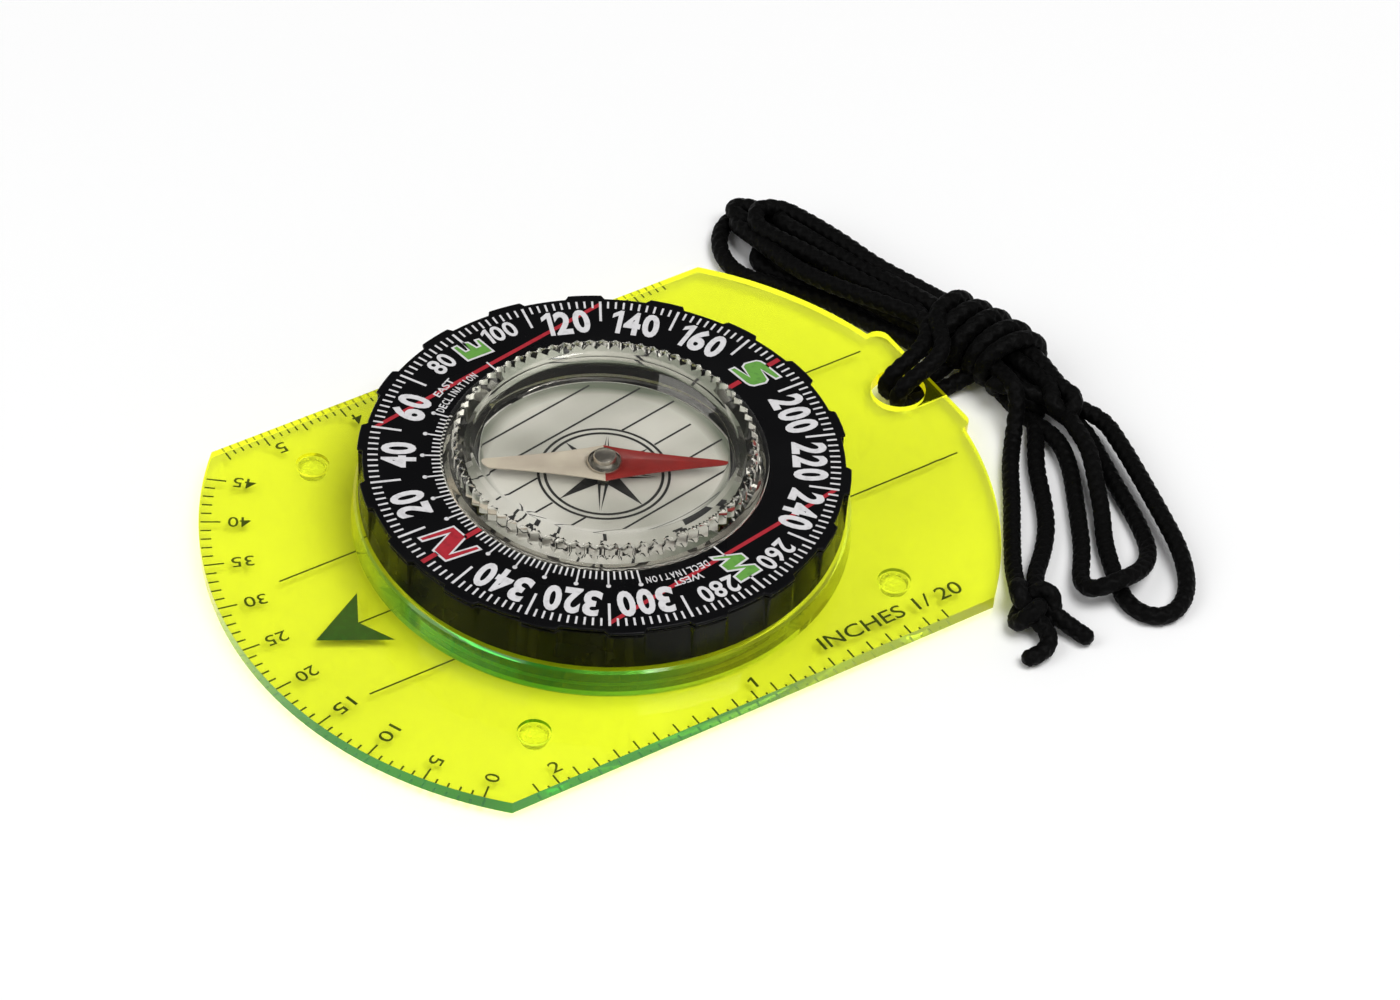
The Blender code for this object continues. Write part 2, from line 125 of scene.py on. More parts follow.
class Shader:
    """A material with one Principled shader, and short ways to add nodes to it."""

    def __init__(self, name, colour, roughness, **inputs):
        self.material = bpy.data.materials.new(name)
        self.material.use_nodes = True
        self.tree = self.material.node_tree
        self.main = self.tree.nodes["Principled BSDF"]
        self.output = self.tree.nodes["Material Output"]
        self.main.inputs["Base Color"].default_value = (*colour, 1.0)
        self.main.inputs["Roughness"].default_value = roughness
        for label, value in inputs.items():
            self.main.inputs[label.replace("_", " ").title().replace("Ior", "IOR")].default_value = value

    def node(self, kind, **settings):
        made = self.tree.nodes.new("ShaderNode" + kind)
        for label, value in settings.items():
            setattr(made, label, value)
        return made

    def link(self, source, target):
        self.tree.links.new(source, target)

    def feed(self, label, source):
        self.link(source, self.main.inputs[label])

    def place(self, scale=(1.0, 1.0, 1.0)):
        """The piece's own coordinates, stretched."""
        where = self.node("TexCoord")
        stretch = self.node("Mapping")
        stretch.inputs["Scale"].default_value = scale
        self.link(where.outputs["Object"], stretch.inputs["Vector"])
        return stretch.outputs["Vector"]

    def noise(self, scale, detail=3.0, stretch=(1.0, 1.0, 1.0)):
        made = self.node("TexNoise")
        made.inputs["Scale"].default_value = scale
        made.inputs["Detail"].default_value = detail
        self.link(self.place(stretch), made.inputs["Vector"])
        return made.outputs["Fac"]

    def between(self, source, low, high, start=0.3, stop=0.7):
        """A number from low to high as the source goes from start to stop."""
        made = self.node("MapRange")
        for place, value in zip((1, 2, 3, 4), (start, stop, low, high)):
            made.inputs[place].default_value = value
        self.link(source, made.inputs[0])
        return made.outputs[0]

    def ramp(self, source, *stops):
        """A colour ramp of (position, colour) stops."""
        made = self.node("ValToRGB")
        ramp = made.color_ramp
        while len(ramp.elements) < len(stops):
            ramp.elements.new(0.5)
        for element, (position, colour) in zip(ramp.elements, stops):
            element.position = position
            element.color = (*colour, 1.0)
        self.link(source, made.inputs[0])
        return made.outputs["Color"]

    def tones(self, source, *stops):
        self.feed("Base Color", self.ramp(source, *stops))

    def math(self, operation, first, second):
        made = self.node("Math", operation=operation)
        for place, value in enumerate((first, second)):
            if isinstance(value, float):
                made.inputs[place].default_value = value
            else:
                self.link(value, made.inputs[place])
        return made.outputs[0]

    def bump(self, scale, detail, distance, strength, stretch=(1.0, 1.0, 1.0)):
        """A fine uneven surface; the distance is in metres."""
        made = self.node("Bump")
        made.inputs["Strength"].default_value = strength
        made.inputs["Distance"].default_value = distance
        self.link(self.noise(scale, detail, stretch), made.inputs["Height"])
        self.feed("Normal", made.outputs["Normal"])

    def rough(self, low, high, scale, stretch=(1.0, 1.0, 1.0)):
        """Roughness that wanders between two values."""
        self.feed("Roughness", self.between(self.noise(scale, 4.0, stretch), low, high))

    def along(self, axis, start, stop):
        """A number from 0 to 1 as the piece's own x, y or z goes from start to stop, in metres."""
        apart = self.node("SeparateXYZ")
        self.link(self.place(), apart.inputs[0])
        return self.between(apart.outputs[axis], 0.0, 1.0, start, stop)

    def from_axis(self, start, stop):
        """A number from 0 to 1 as the distance from the piece's own z axis goes from start to stop."""
        length = self.node("VectorMath", operation="LENGTH")
        self.link(self.place((1.0, 1.0, 0.0)), length.inputs[0])
        return self.between(length.outputs["Value"], 0.0, 1.0, start, stop)

    def finish(self, sheen, grain=None, lamps=None):
        """The material. sheen is as in rough, grain as in bump; lamps shine through it with a tint."""
        self.rough(*sheen)
        if grain:
            self.bump(*grain)
        if lamps:
            self.lets_lamps_through(lamps)
        return self.material

    def lets_lamps_through(self, tint):
        """Lamps shine through the clear piece, so that what is inside or under it is lit."""
        path = self.node("LightPath")
        clear = self.node("BsdfTransparent")
        clear.inputs["Color"].default_value = (*tint, 1.0)
        mix = self.node("MixShader")
        self.link(path.outputs["Is Shadow Ray"], mix.inputs[0])
        self.link(self.main.outputs[0], mix.inputs[1])
        self.link(clear.outputs[0], mix.inputs[2])
        self.link(mix.outputs[0], self.output.inputs["Surface"])


def fluorescent_acrylic():
    """Clear yellow-green acrylic with a little painted glow, an emission that stands in for its dye's
    fluorescence.
    """
    made = Shader("fluorescent_acrylic", PLATE_DYE, 0.03, transmission_weight=1.0, ior=ACRYLIC_IOR)
    # Painted glow: the sheet gives off light of its own, in place of the fluorescence of its dye.
    made.main.inputs["Emission Color"].default_value = (0.55, 0.62, 0.0, 1.0)
    made.feed("Emission Strength", made.between(made.noise(28.0, 2.0), 0.0, 0.09))
    return made.finish((0.015, 0.06, 140.0), (90.0, 1.0, 0.00002, 0.4), lamps=(0.97, 0.97, 0.8))


def fluorescent_edge(name, yellow_y, green_y, glow):
    """The sheet's walls, with painted light for the light that the dye traps and lets out there: a painted
    glow and colour, green at the front and right, yellow at the back.
    """
    made = Shader(name, (0.3, 0.8, 0.05), 0.04, transmission_weight=1.0, ior=ACRYLIC_IOR)
    # Painted light: how green and how bright a wall glows is set by where it stands on the sheet.
    painted_front_glow = made.math("MULTIPLY", made.along("Y", yellow_y, green_y), 0.4)
    painted_right_glow = made.math("MULTIPLY", made.along("X", 0.014, -0.014), 0.5)
    painted_glow_patches = made.math("MULTIPLY", made.noise(120.0, 2.0), 0.2)
    painted_glow_mix = made.math("ADD", made.math("ADD", painted_front_glow, painted_right_glow), painted_glow_patches)
    colour = made.ramp(
        painted_glow_mix, (0.5, (0.88, 0.82, 0.01)), (0.64, (0.50, 0.72, 0.03)), (0.8, (0.16, 0.56, 0.06)),
        (0.96, (0.03, 0.38, 0.04)),
    )
    made.feed("Base Color", colour)
    made.feed("Emission Color", colour)
    made.feed("Emission Strength", made.between(made.noise(60.0, 2.0), 0.5 * glow, glow))
    return made.finish((0.03, 0.10, 140.0), lamps=(0.9, 0.95, 0.7))


def clear_acrylic():
    # Painted shade: the grey tint darkens the card and the toothed rim seen through the clear capsule.
    made = Shader("clear_acrylic", (0.68, 0.67, 0.63), 0.0, transmission_weight=1.0, ior=ACRYLIC_IOR)
    return made.finish((0.0, 0.03, 200.0), (180.0, 1.0, 0.000006, 0.5), lamps=(0.95, 0.95, 0.93))


def acrylic_to_liquid():
    """The wetted inner walls of the capsule: light hardly bends from acrylic into the liquid."""
    made = Shader("acrylic_to_liquid", (0.985, 0.985, 0.98), 0.0, transmission_weight=1.0, ior=1.042)
    return made.finish((0.0, 0.02, 200.0), lamps=(0.99, 0.99, 0.985))


def clear_silicone():
    made = Shader("clear_silicone", (0.93, 0.95, 0.80), 0.25, transmission_weight=0.85, ior=1.41)
    return made.finish((0.2, 0.35, 300.0), (900.0, 2.0, 0.00001, 0.5), lamps=(0.9, 0.92, 0.75))


def smoke_acrylic():
    """Dark olive translucent plastic of the turning ring, moulded and glossy."""
    made = Shader("smoke_acrylic", (0.004, 0.004, 0.002), 0.25, specular_ior_level=0.10)
    streaks = made.noise(420.0, 2.0, (1.0, 1.0, 0.08))
    made.tones(
        streaks, (0.3, (0.0015, 0.0015, 0.001)), (0.55, (0.004, 0.004, 0.002)), (0.8, (0.016, 0.016, 0.004)),
    )
    return made.finish((0.2, 0.32, 150.0), (260.0, 2.0, 0.00001, 0.6))


def dial_black():
    made = Shader("dial_black", (0.003, 0.003, 0.0035), 0.3, specular_ior_level=0.09)
    return made.finish((0.22, 0.4, 120.0), (700.0, 2.0, 0.000004, 0.5))


def silver_card():
    """Satin silver-grey printed card, cloudy, with painted shade: darker to the south-east and close to the
    capsule's wall.
    """
    made = Shader("silver_card", (0.5, 0.5, 0.48), 0.4, metallic=0.25)
    # Painted shade: darker towards the south-east corner, and in a band next to the capsule's wall.
    corner = made.math("MULTIPLY", made.along("X", 0.001, 0.013), made.along("Y", -0.001, -0.013))
    painted_wall_shade = made.math("MULTIPLY", made.from_axis(0.0134, 0.015), 0.4)
    painted_card_shade = made.math("ADD", made.math("MULTIPLY", corner, 0.6), painted_wall_shade)
    made.tones(
        made.math("SUBTRACT", made.noise(70.0, 2.0), painted_card_shade), (0.0, (0.14, 0.16, 0.12)),
        (0.3, (0.42, 0.42, 0.37)), (0.5, (0.64, 0.63, 0.58)), (0.75, (0.82, 0.81, 0.76)),
    )
    return made.finish((0.32, 0.5, 900.0), (2600.0, 2.0, 0.000003, 0.5))


def uneven(name, colour, worn, roughness, tone, sheen, grain):
    """A colour with worn spots: tone is (scale, worn up to, whole from), sheen and grain as in finish."""
    made = Shader(name, colour, roughness)
    scale, start, stop = tone
    made.tones(made.noise(scale), (start, worn), (stop, colour))
    return made.finish(sheen, grain)


def ink(name, colour, worn):
    grain = 1400.0, 3.0, 0.000004, 0.4
    return uneven(name, colour, worn, 0.45, (1400.0, 0.3, 0.5), (0.35, 0.55, 400.0), grain)


def needle_paint(name, colour, worn):
    grain = 1500.0, 2.0, 0.000005, 0.5
    return uneven(name, colour, worn, 0.38, (260.0, 0.35, 0.6), (0.3, 0.5, 600.0), grain)


def moulded(name, colour, worn, roughness):
    sheen = roughness - 0.08, roughness + 0.1, 300.0
    return uneven(name, colour, worn, roughness, (160.0, 0.35, 0.65), sheen, (1200.0, 3.0, 0.00001, 0.6))


def plated_metal(name, colour, low, high):
    made = Shader(name, colour, low, metallic=1.0)
    return made.finish((low, high, 500.0, (1.0, 1.0, 6.0)), (1800.0, 2.0, 0.000004, 0.5, (1.0, 1.0, 8.0)))


def ruby():
    made = Shader("ruby", (0.75, 0.03, 0.08), 0.02, transmission_weight=0.8, ior=1.76)
    return made.finish((0.01, 0.05, 600.0))


def black_braid():
    """Black braided nylon: fine filaments along the strands, hardly any sheen."""
    made = Shader("black_braid", (0.002, 0.002, 0.002), 0.6, sheen_weight=0.01, sheen_roughness=0.5,
                  specular_ior_level=0.05)
    made.tones(made.noise(5200.0), (0.3, (0.0006, 0.0006, 0.0006)), (0.7, (0.0028, 0.0027, 0.0026)))
    return made.finish((0.42, 0.65, 1800.0), (5200.0, 3.0, 0.00005, 0.7))


# ---- mesh helpers

def shaped(name, shape, materials, matrix=None, sharp=35.0):
    """An object from a bmesh that was drawn in millimetres."""
    bmesh.ops.recalc_face_normals(shape, faces=shape.faces)
    bmesh.ops.scale(shape, vec=(MM, MM, MM), verts=shape.verts)
    mesh = bpy.data.meshes.new(name)
    shape.to_mesh(mesh)
    shape.free()
    mesh.shade_smooth()
    mesh.set_sharp_from_angle(angle=radians(sharp))
    for material in materials:
        mesh.materials.append(material)
    made = in_scene(name, mesh)
    if matrix:
        made.matrix_world = matrix
    return made


def soften(thing, width, segments=2, angle=30.0):
    """Rounds the piece's real edges."""
    step = thing.modifiers.new("soften", "BEVEL")
    step.width = width * MM
    step.segments = segments
    step.limit_method = "ANGLE"
    step.angle_limit = radians(angle)
    step.harden_normals = False
    return thing


def evaluated_mesh(thing):
    bpy.context.view_layer.update()
    return bpy.data.meshes.new_from_object(thing.evaluated_get(bpy.context.evaluated_depsgraph_get()))


def dial_frame(bearing=DIAL_BEARING):
    return Matrix.Translation((AXIS.x * MM, AXIS.y * MM, 0.0)) @ spun(-bearing)


def even_angles(count):
    return [2.0 * pi * step / count for step in range(count)]


def turned_shape(profile, angles, wave=None):
    """Closed profile of (radius, height[, waved]) turned about Z; wave adds to waved radii."""
    shape = bmesh.new()
    rings = []
    for radius, height, *waved in profile:
        around = angles if radius else [0.0]
        reaches = [radius + (wave(angle) if waved else 0.0) for angle in around]
        rings.append([shape.verts.new((reach * sin(angle), reach * cos(angle), height))
                      for reach, angle in zip(reaches, around)])
    for ring, following in zip(rings, rings[1:] + rings[:1]):
        if len(ring) == len(following) == 1:
            continue
        for here in range(len(angles)):
            there = here + 1
            corners = (ring[here % len(ring)], following[here % len(following)])
            corners += (following[there % len(following)], ring[there % len(ring)])
            shape.faces.new(tuple(dict.fromkeys(corners)))  # a point on the axis counts once
    return shape


def turned(name, profile, sides, *materials, matrix=None, wave=None, sharp=35.0):
    """A turned piece on the dial's axis, or where the matrix says; sides is a count or a list of angles."""
    angles = sides if isinstance(sides, list) else even_angles(sides)
    return shaped(name, turned_shape(profile, angles, wave), materials, matrix or dial_frame(), sharp)


def on_bearing(bearing, radius):
    return radius * sin(radians(bearing)), radius * cos(radians(bearing))


def outward(bearing, radius):
    """Where lettering stands on the dial with its top outward."""
    return spun(-bearing) @ Matrix.Translation((0.0, radius, 0.0))


FIGURE_ONE = ((0.05, -0.5), (0.5, -0.5), (0.5, 0.5), (0.15, 0.5), (-0.5, 0.32), (-0.5, 0.14), (0.05, 0.28))


class Drawing:
    """Flat shapes between two heights, all in one mesh."""

    def __init__(self, low, high):
        self.shape = bmesh.new()
        self.low, self.high = low, high

    def at(self, low, high):
        """Draws between other heights from here on."""
        self.low, self.high = low, high
        return self

    def made(self, name, *materials, matrix=None):
        return shaped(name, self.shape, materials, matrix)

    def prism(self, outline):
        """A closed prism on an outline of (x, y) points."""
        lower = [self.shape.verts.new((x, y, self.low)) for x, y in outline]
        upper = [self.shape.verts.new((x, y, self.high)) for x, y in outline]
        self.shape.faces.new(lower[::-1])
        self.shape.faces.new(upper)
        for here in range(len(outline)):
            there = (here + 1) % len(outline)
            self.shape.faces.new((lower[here], lower[there], upper[there], upper[here]))

    def line(self, x1, y1, x2, y2, width):
        along = Vector((x2 - x1, y2 - y1)).normalized() * (width / 2)
        side = Vector((-along.y, along.x))
        corners = [(x1 - side.x, y1 - side.y), (x2 - side.x, y2 - side.y)]
        self.prism(corners + [(x2 + side.x, y2 + side.y), (x1 + side.x, y1 + side.y)])

    def tick(self, bearing, inner, outer, width):
        self.line(*on_bearing(bearing, inner), *on_bearing(bearing, outer), width)

    def disc(self, x, y, radius, steps=16):
        self.prism([(x + radius * cos(a), y + radius * sin(a)) for a in even_angles(steps)])

    def take(self, mesh):
        self.shape.from_mesh(mesh)
        bpy.data.meshes.remove(mesh)

    def ring(self, inner, outer):
        profile = [(inner, self.low), (inner, self.high), (outer, self.high), (outer, self.low)]
        ring = turned_shape(profile, even_angles(96))
        mesh = bpy.data.meshes.new("ring")
        ring.to_mesh(mesh)
        ring.free()
        self.take(mesh)

    def text(self, text, width, height, matrix, bold):
        """Lettering of a given overall size, centred at the matrix's origin."""
        if text == "1":
            self.prism([(matrix @ Vector((x * width, y * height, 0.0)))[:2] for x, y in FIGURE_ONE])
            return
        data = bpy.data.curves.new("lettering", "FONT")
        data.body = text
        data.size = 1.0
        data.offset = bold
        data.extrude = 0.5
        data.resolution_u = 4
        thing = in_scene("lettering", data)
        mesh = evaluated_mesh(thing)
        bpy.data.objects.remove(thing)
        bpy.data.curves.remove(data)
        places = np.array([vert.co for vert in mesh.vertices])
        start, stop = places.min(axis=0), places.max(axis=0)
        centre, span = (start + stop) / 2, stop - start
        for vert in mesh.vertices:
            x = (vert.co.x - centre[0]) / span[0] * width
            y = (vert.co.y - centre[1]) / span[1] * height
            spot = matrix @ Vector((x, y, 0.0))
            vert.co = (spot.x, spot.y, self.low if vert.co.z < 0 else self.high)
        self.take(mesh)

    def number(self, number, advance, height, matrix, bold):
        """A number digit by digit on an even spacing, centred at the matrix's origin."""
        digits = str(number)
        steps = [advance * (0.66 if digit == "1" else 1.0) for digit in digits]
        start = -sum(steps) / 2
        for digit, step in zip(digits, steps):
            spot = matrix @ Matrix.Translation((start + step / 2, 0.0, 0.0))
            self.text(digit, step - 0.1 * advance, height, spot, bold)
            start += step


def arc(centre_x, centre_y, radius, start, stop, steps):
    """Points of an arc between two bearings in degrees, clockwise from +Y."""
    points = []
    for step in range(steps + 1):
        bearing = radians(start + (stop - start) * step / steps)
        points.append((centre_x + radius * sin(bearing), centre_y + radius * cos(bearing)))
    return points


# ---- lanyard

CORD = 2.1  # diameter
INNER_LENGTH, OUTER_LENGTH = 0.425, 0.553  # metres, along each side of the folded cord
INNER_EXIT, OUTER_EXIT = (3.4, -40.1, 1.9), (1.0, -40.1, 1.9)
BRAID_DEPTH = 0.13  # share of the cord's radius
BRAID_PITCH = 5.6  # length in which a strand goes once round
STRANDS = 4  # each way round
TUBE_SIDES = 20
TUBE_STEP = 0.24
EASING_PASSES = 60
TABLE_GAP = 0.03
UNDER_EAR = 1.0  # the cord's middle is below this height in the ear's groove
BUNDLE_LINE = [Vector(place) for place in (  # the hank's middle, from its far end to the loops
    (36.4, -41.9, 0), (30.5, -43.6, 0), (24.5, -45.3, 0), (18.5, -47.3, 0), (12.5, -50.2, 0), (7.0, -52.3, 0),
    (1.0, -53.9, 0), (-5.0, -54.4, 0), (-10.5, -54.2, 0),
)]
WRAP_START, WRAP_STOP = 0.57, 0.86  # shares of the hank's length
WRAP_TURNS, TURN_STEPS = 5, 12
WRAP_MIDDLE, WRAP_HALF_WIDTH, WRAP_HALF_HEIGHT = 4.2, 4.2, 3.1
TURN_WIDTH = 4.0  # least width of a strand's turn at the hank's ends
ROW_LOW, ROW_MIDDLE, ROW_HIGH = 1.15, 3.0, 4.8  # heights of the hank's three layers


def bundle_place(share, across, height):
    """A place in the bundle: its share of the length, a distance towards the plate, and a height."""
    spans = len(BUNDLE_LINE) - 1
    inside = min(max(share, 0.0), 1.0)
    spot = inside * spans
    here = min(int(spot), spans - 1)
    along = BUNDLE_LINE[here + 1] - BUNDLE_LINE[here]
    side = Vector((along.y, -along.x, 0.0)).normalized()
    beyond = (share - inside) * spans
    squeezed = max(0.0, 1.0 - abs(share - (WRAP_START + WRAP_STOP) / 2) / 0.2)
    spread = (0.86 + 0.16 * sin(4.0 * share + 0.6)) * (1.0 - 0.36 * squeezed)
    height = 1.1 + (height - 1.1) * (1.0 - 0.22 * squeezed) + 0.9 * squeezed
    wander = 0.5 * sin(9.0 * share + 2.3 * across + height)
    height = max(ROW_LOW, height + 0.3 * sin(12.0 * share + 1.7 * across + 2.0 * height))
    spot_on_line = BUNDLE_LINE[here] + along * (spot - here + beyond)
    return spot_on_line + side * (across * spread + wander) + Vector((0, 0, height))


def bundle_run(start, stop, across, height):
    """Points along one strand between two shares of the bundle's length."""
    count = max(2, round(abs(stop - start) * 10))
    return [bundle_place(start + (stop - start) * step / count, across, height) for step in range(count + 1)]


def bundle_passes(strands):
    """Strands one after another, to and fro, with a rounded turn at each end. A strand is
    (share it starts at, share it stops at, distance across, height)."""
    points = bundle_run(*strands[0])
    for (_, stop, across, height), following in zip(strands, strands[1:]):
        next_across, next_height = following[2:]
        onward = 1.0 if stop > 0.5 else -1.0
        sideways = 1.0 if next_across > across else -1.0
        wider = max(0.0, TURN_WIDTH - abs(next_across - across)) / 2 * sideways
        halfway = (across + next_across) / 2, (height + next_height) / 2
        points.append(bundle_place(stop + 0.03 * onward, across - wider, height))
        points.append(bundle_place(stop + 0.075 * onward, *halfway))
        points.append(bundle_place(stop + 0.03 * onward, next_across + wider, next_height))
        points += bundle_run(*following)
    return points


def wrap_turns():
    """Turns of cord round the bundle."""
    points = []
    steps = WRAP_TURNS * TURN_STEPS
    for step in range(2, steps + 1):
        share = WRAP_START + 0.02 + (WRAP_STOP - WRAP_START - 0.04) * step / steps
        around = 2.0 * pi * step / TURN_STEPS
        centre = bundle_place(share, 0.0, ROW_MIDDLE)
        beside = bundle_place(share, 1.0, ROW_MIDDLE) - bundle_place(share, -1.0, ROW_MIDDLE)
        side = Vector((beside.x, beside.y, 0.0)).normalized()
        points.append(Vector((centre.x, centre.y, WRAP_MIDDLE)) + side * WRAP_HALF_WIDTH * cos(around)
                      + Vector((0, 0, WRAP_HALF_HEIGHT * sin(around))))
    return points


INNER_EYE = [
    (4.2, -52.0, 3.0), (3.8, -49.6, 1.7), (3.4, -47.2, 1.15), (3.4, -44.4, 0.85), (3.4, -41.4, 0.95),
    (3.4, -40.1, 1.9), (3.4, -40.2, 3.3), (3.4, -41.8, 4.6), (3.9, -44.6, 5.2), (6.2, -48.2, 5.6),
]
OUTER_EYE = [
    (0.4, -52.0, 3.0), (0.7, -49.6, 1.7), (1.0, -47.2, 1.15), (1.0, -44.4, 0.85), (1.0, -41.4, 0.95),
    (1.0, -40.1, 1.9), (1.0, -40.2, 3.3), (1.0, -41.8, 4.6), (1.4, -44.6, 5.2), (2.4, -47.6, 6.2),
]
INNER_LOOP = [
    (-13.0, -56.9, 1.7), (-16.4, -56.4, 1.3), (-22.4, -55.0, 1.1), (-28.2, -53.6, 1.1), (-33.0, -51.8, 1.2),
    (-36.2, -48.3, 2.6), (-37.2, -44.2, 3.7), (-36.3, -41.4, 2.8), (-33.6, -41.8, 1.6), (-29.1, -45.3, 1.1),
    (-22.2, -49.4, 1.1), (-17.0, -52.2, 1.2), (-12.8, -53.3, 1.6),
]
OUTER_LOOP = [
    (-12.6, -58.4, 3.0), (-18.0, -58.4, 2.8), (-24.6, -57.0, 2.6), (-30.6, -55.5, 2.5), (-35.0, -54.4, 2.2),
    (-38.6, -53.0, 1.4), (-41.4, -50.7, 1.1), (-42.6, -47.6, 1.1), (-41.4, -45.4, 1.1), (-38.3, -44.7, 1.1),
    (-33.6, -46.4, 1.1), (-29.2, -48.4, 1.1), (-25.6, -50.6, 1.6), (-21.7, -52.4, 2.6), (-17.4, -54.3, 3.5),
    (-13.0, -54.9, 3.8),
]
SIDE_LOOP = [  # beside the hank's far end
    (34.6, -45.9, 1.6), (37.6, -45.0, 1.3), (38.9, -42.2, 1.2), (37.8, -39.9, 1.2), (35.3, -37.9, 1.2),
    (32.2, -37.0, 1.2), (29.3, -37.4, 1.2), (26.0, -39.9, 1.2),
]
FAR_TURN = [
    (28.2, -41.6, 1.6), (32.2, -43.4, 1.2), (35.6, -45.2, 1.3), (38.0, -43.6, 1.9), (36.6, -41.0, 2.6),
    (32.8, -40.8, 3.5),
]
INNER_END = [  # through the knot to the tail
    (-12.2, -50.9, 1.3), (-15.6, -48.6, 1.1), (-19.9, -46.4, 1.1), (-24.0, -44.0, 1.1), (-27.4, -41.0, 1.1),
    (-29.8, -38.3, 1.4), (-31.6, -36.9, 2.0), (-34.2, -35.4, 2.4), (-36.6, -35.9, 2.0), (-39.1, -37.0, 1.2),
    (-41.4, -37.7, 1.1),
]
OUTER_END = [
    (-9.6, -49.6, 1.5), (-13.5, -46.4, 1.1), (-18.6, -43.0, 1.1), (-24.0, -39.2, 1.1), (-28.2, -36.4, 1.2),
    (-30.8, -35.0, 1.9), (-33.4, -33.4, 2.6), (-36.4, -33.4, 2.4), (-38.6, -34.0, 1.6), (-39.9, -33.1, 1.3),
    (-40.4, -31.6, 1.1), (-40.1, -29.3, 1.1),
]
INNER_PASSES = [  # strands as in bundle_passes
    (0.5, 0.1, 1.05, ROW_HIGH), (0.08, 0.97, -3.15, ROW_HIGH), (0.95, 0.02, -2.1, ROW_MIDDLE),
    (0.02, 0.93, 0.0, ROW_MIDDLE),
]
OUTER_PASSES = [
    (0.95, 0.14, -4.2, ROW_MIDDLE), (0.13, 0.96, -1.05, ROW_HIGH), (0.94, 0.05, -3.15, ROW_LOW),
    (0.04, 0.95, -1.05, ROW_LOW),
]


def inner_cord_route():
    """From the ear's hole, over its edge, to and fro through the bundle and out to one tail."""
    far_pass, last_pass = bundle_run(0.93, 0.10, 3.15, ROW_LOW), bundle_run(0.42, 0.93, 1.05, ROW_LOW)
    return INNER_EYE + bundle_passes(INNER_PASSES) + INNER_LOOP + far_pass + SIDE_LOOP + last_pass + INNER_END


def outer_cord_route():
    """The other side of the folded cord, which also makes the turns round the bundle."""
    hidden = bundle_passes(OUTER_PASSES) + bundle_run(0.92, 0.22, 2.1, ROW_MIDDLE)
    last_pass = bundle_run(0.24, 0.92, 3.15, ROW_HIGH)
    return OUTER_EYE + wrap_turns() + OUTER_LOOP + hidden + FAR_TURN + last_pass + OUTER_END


def end_knot_route():
    """The outer turns of the overhand knot, a closed trefoil laid over the two cords."""
    centre = Vector((-34.6, -34.2, 2.45))
    points = []
    for step in range(24):
        a = 2.0 * pi * step / 24
        flat = Vector((sin(a) + 2 * sin(2 * a), cos(a) - 2 * cos(2 * a), 0.0))
        turned_flat = spun(-35) @ Vector((flat.x, flat.y * 0.8, 0.0))
        points.append(centre + turned_flat - Vector((0, 0, 1.25 * sin(3 * a))))
    return points


def smooth_route(points, spacing, closed=False):
    """Points about a spacing apart on a Catmull-Rom curve through the route's own points."""
    points = [Vector(point) for point in points]
    if closed:
        ends = points[-1:] + points + points[:2]
    else:
        ends = [2 * points[0] - points[1]] + points + [2 * points[-1] - points[-2]]
    route = []
    for first, second, third, fourth in zip(ends, ends[1:], ends[2:], ends[3:]):
        steps = max(1, round((third - second).length / spacing))
        for step in range(steps):
            t = step / steps
            route.append(0.5 * (
                2 * second + (third - first) * t
                + (2 * first - 5 * second + 4 * third - fourth) * t ** 2
                + (3 * second - first - 3 * third + fourth) * t ** 3
            ))
    return route if closed else route + [points[-1]]


def eased(points, passes):
    """The same line with its sharp changes of direction worn away."""
    places = np.array([list(point) for point in points])
    for _ in range(passes):
        places[1:-1] += 0.5 * ((places[:-2] + places[2:]) / 2 - places[1:-1])
    return places


def resting(tube, line):
    """Flattens a cord where it lies on the table and where it passes under the ear."""
    tube[..., 2] = np.maximum(tube[..., 2], TABLE_GAP)
    pressed = line[:, 2] < UNDER_EAR
    tube[pressed, :, 2] = np.minimum(tube[pressed, :, 2], RELIEF_TOP - TABLE_GAP)


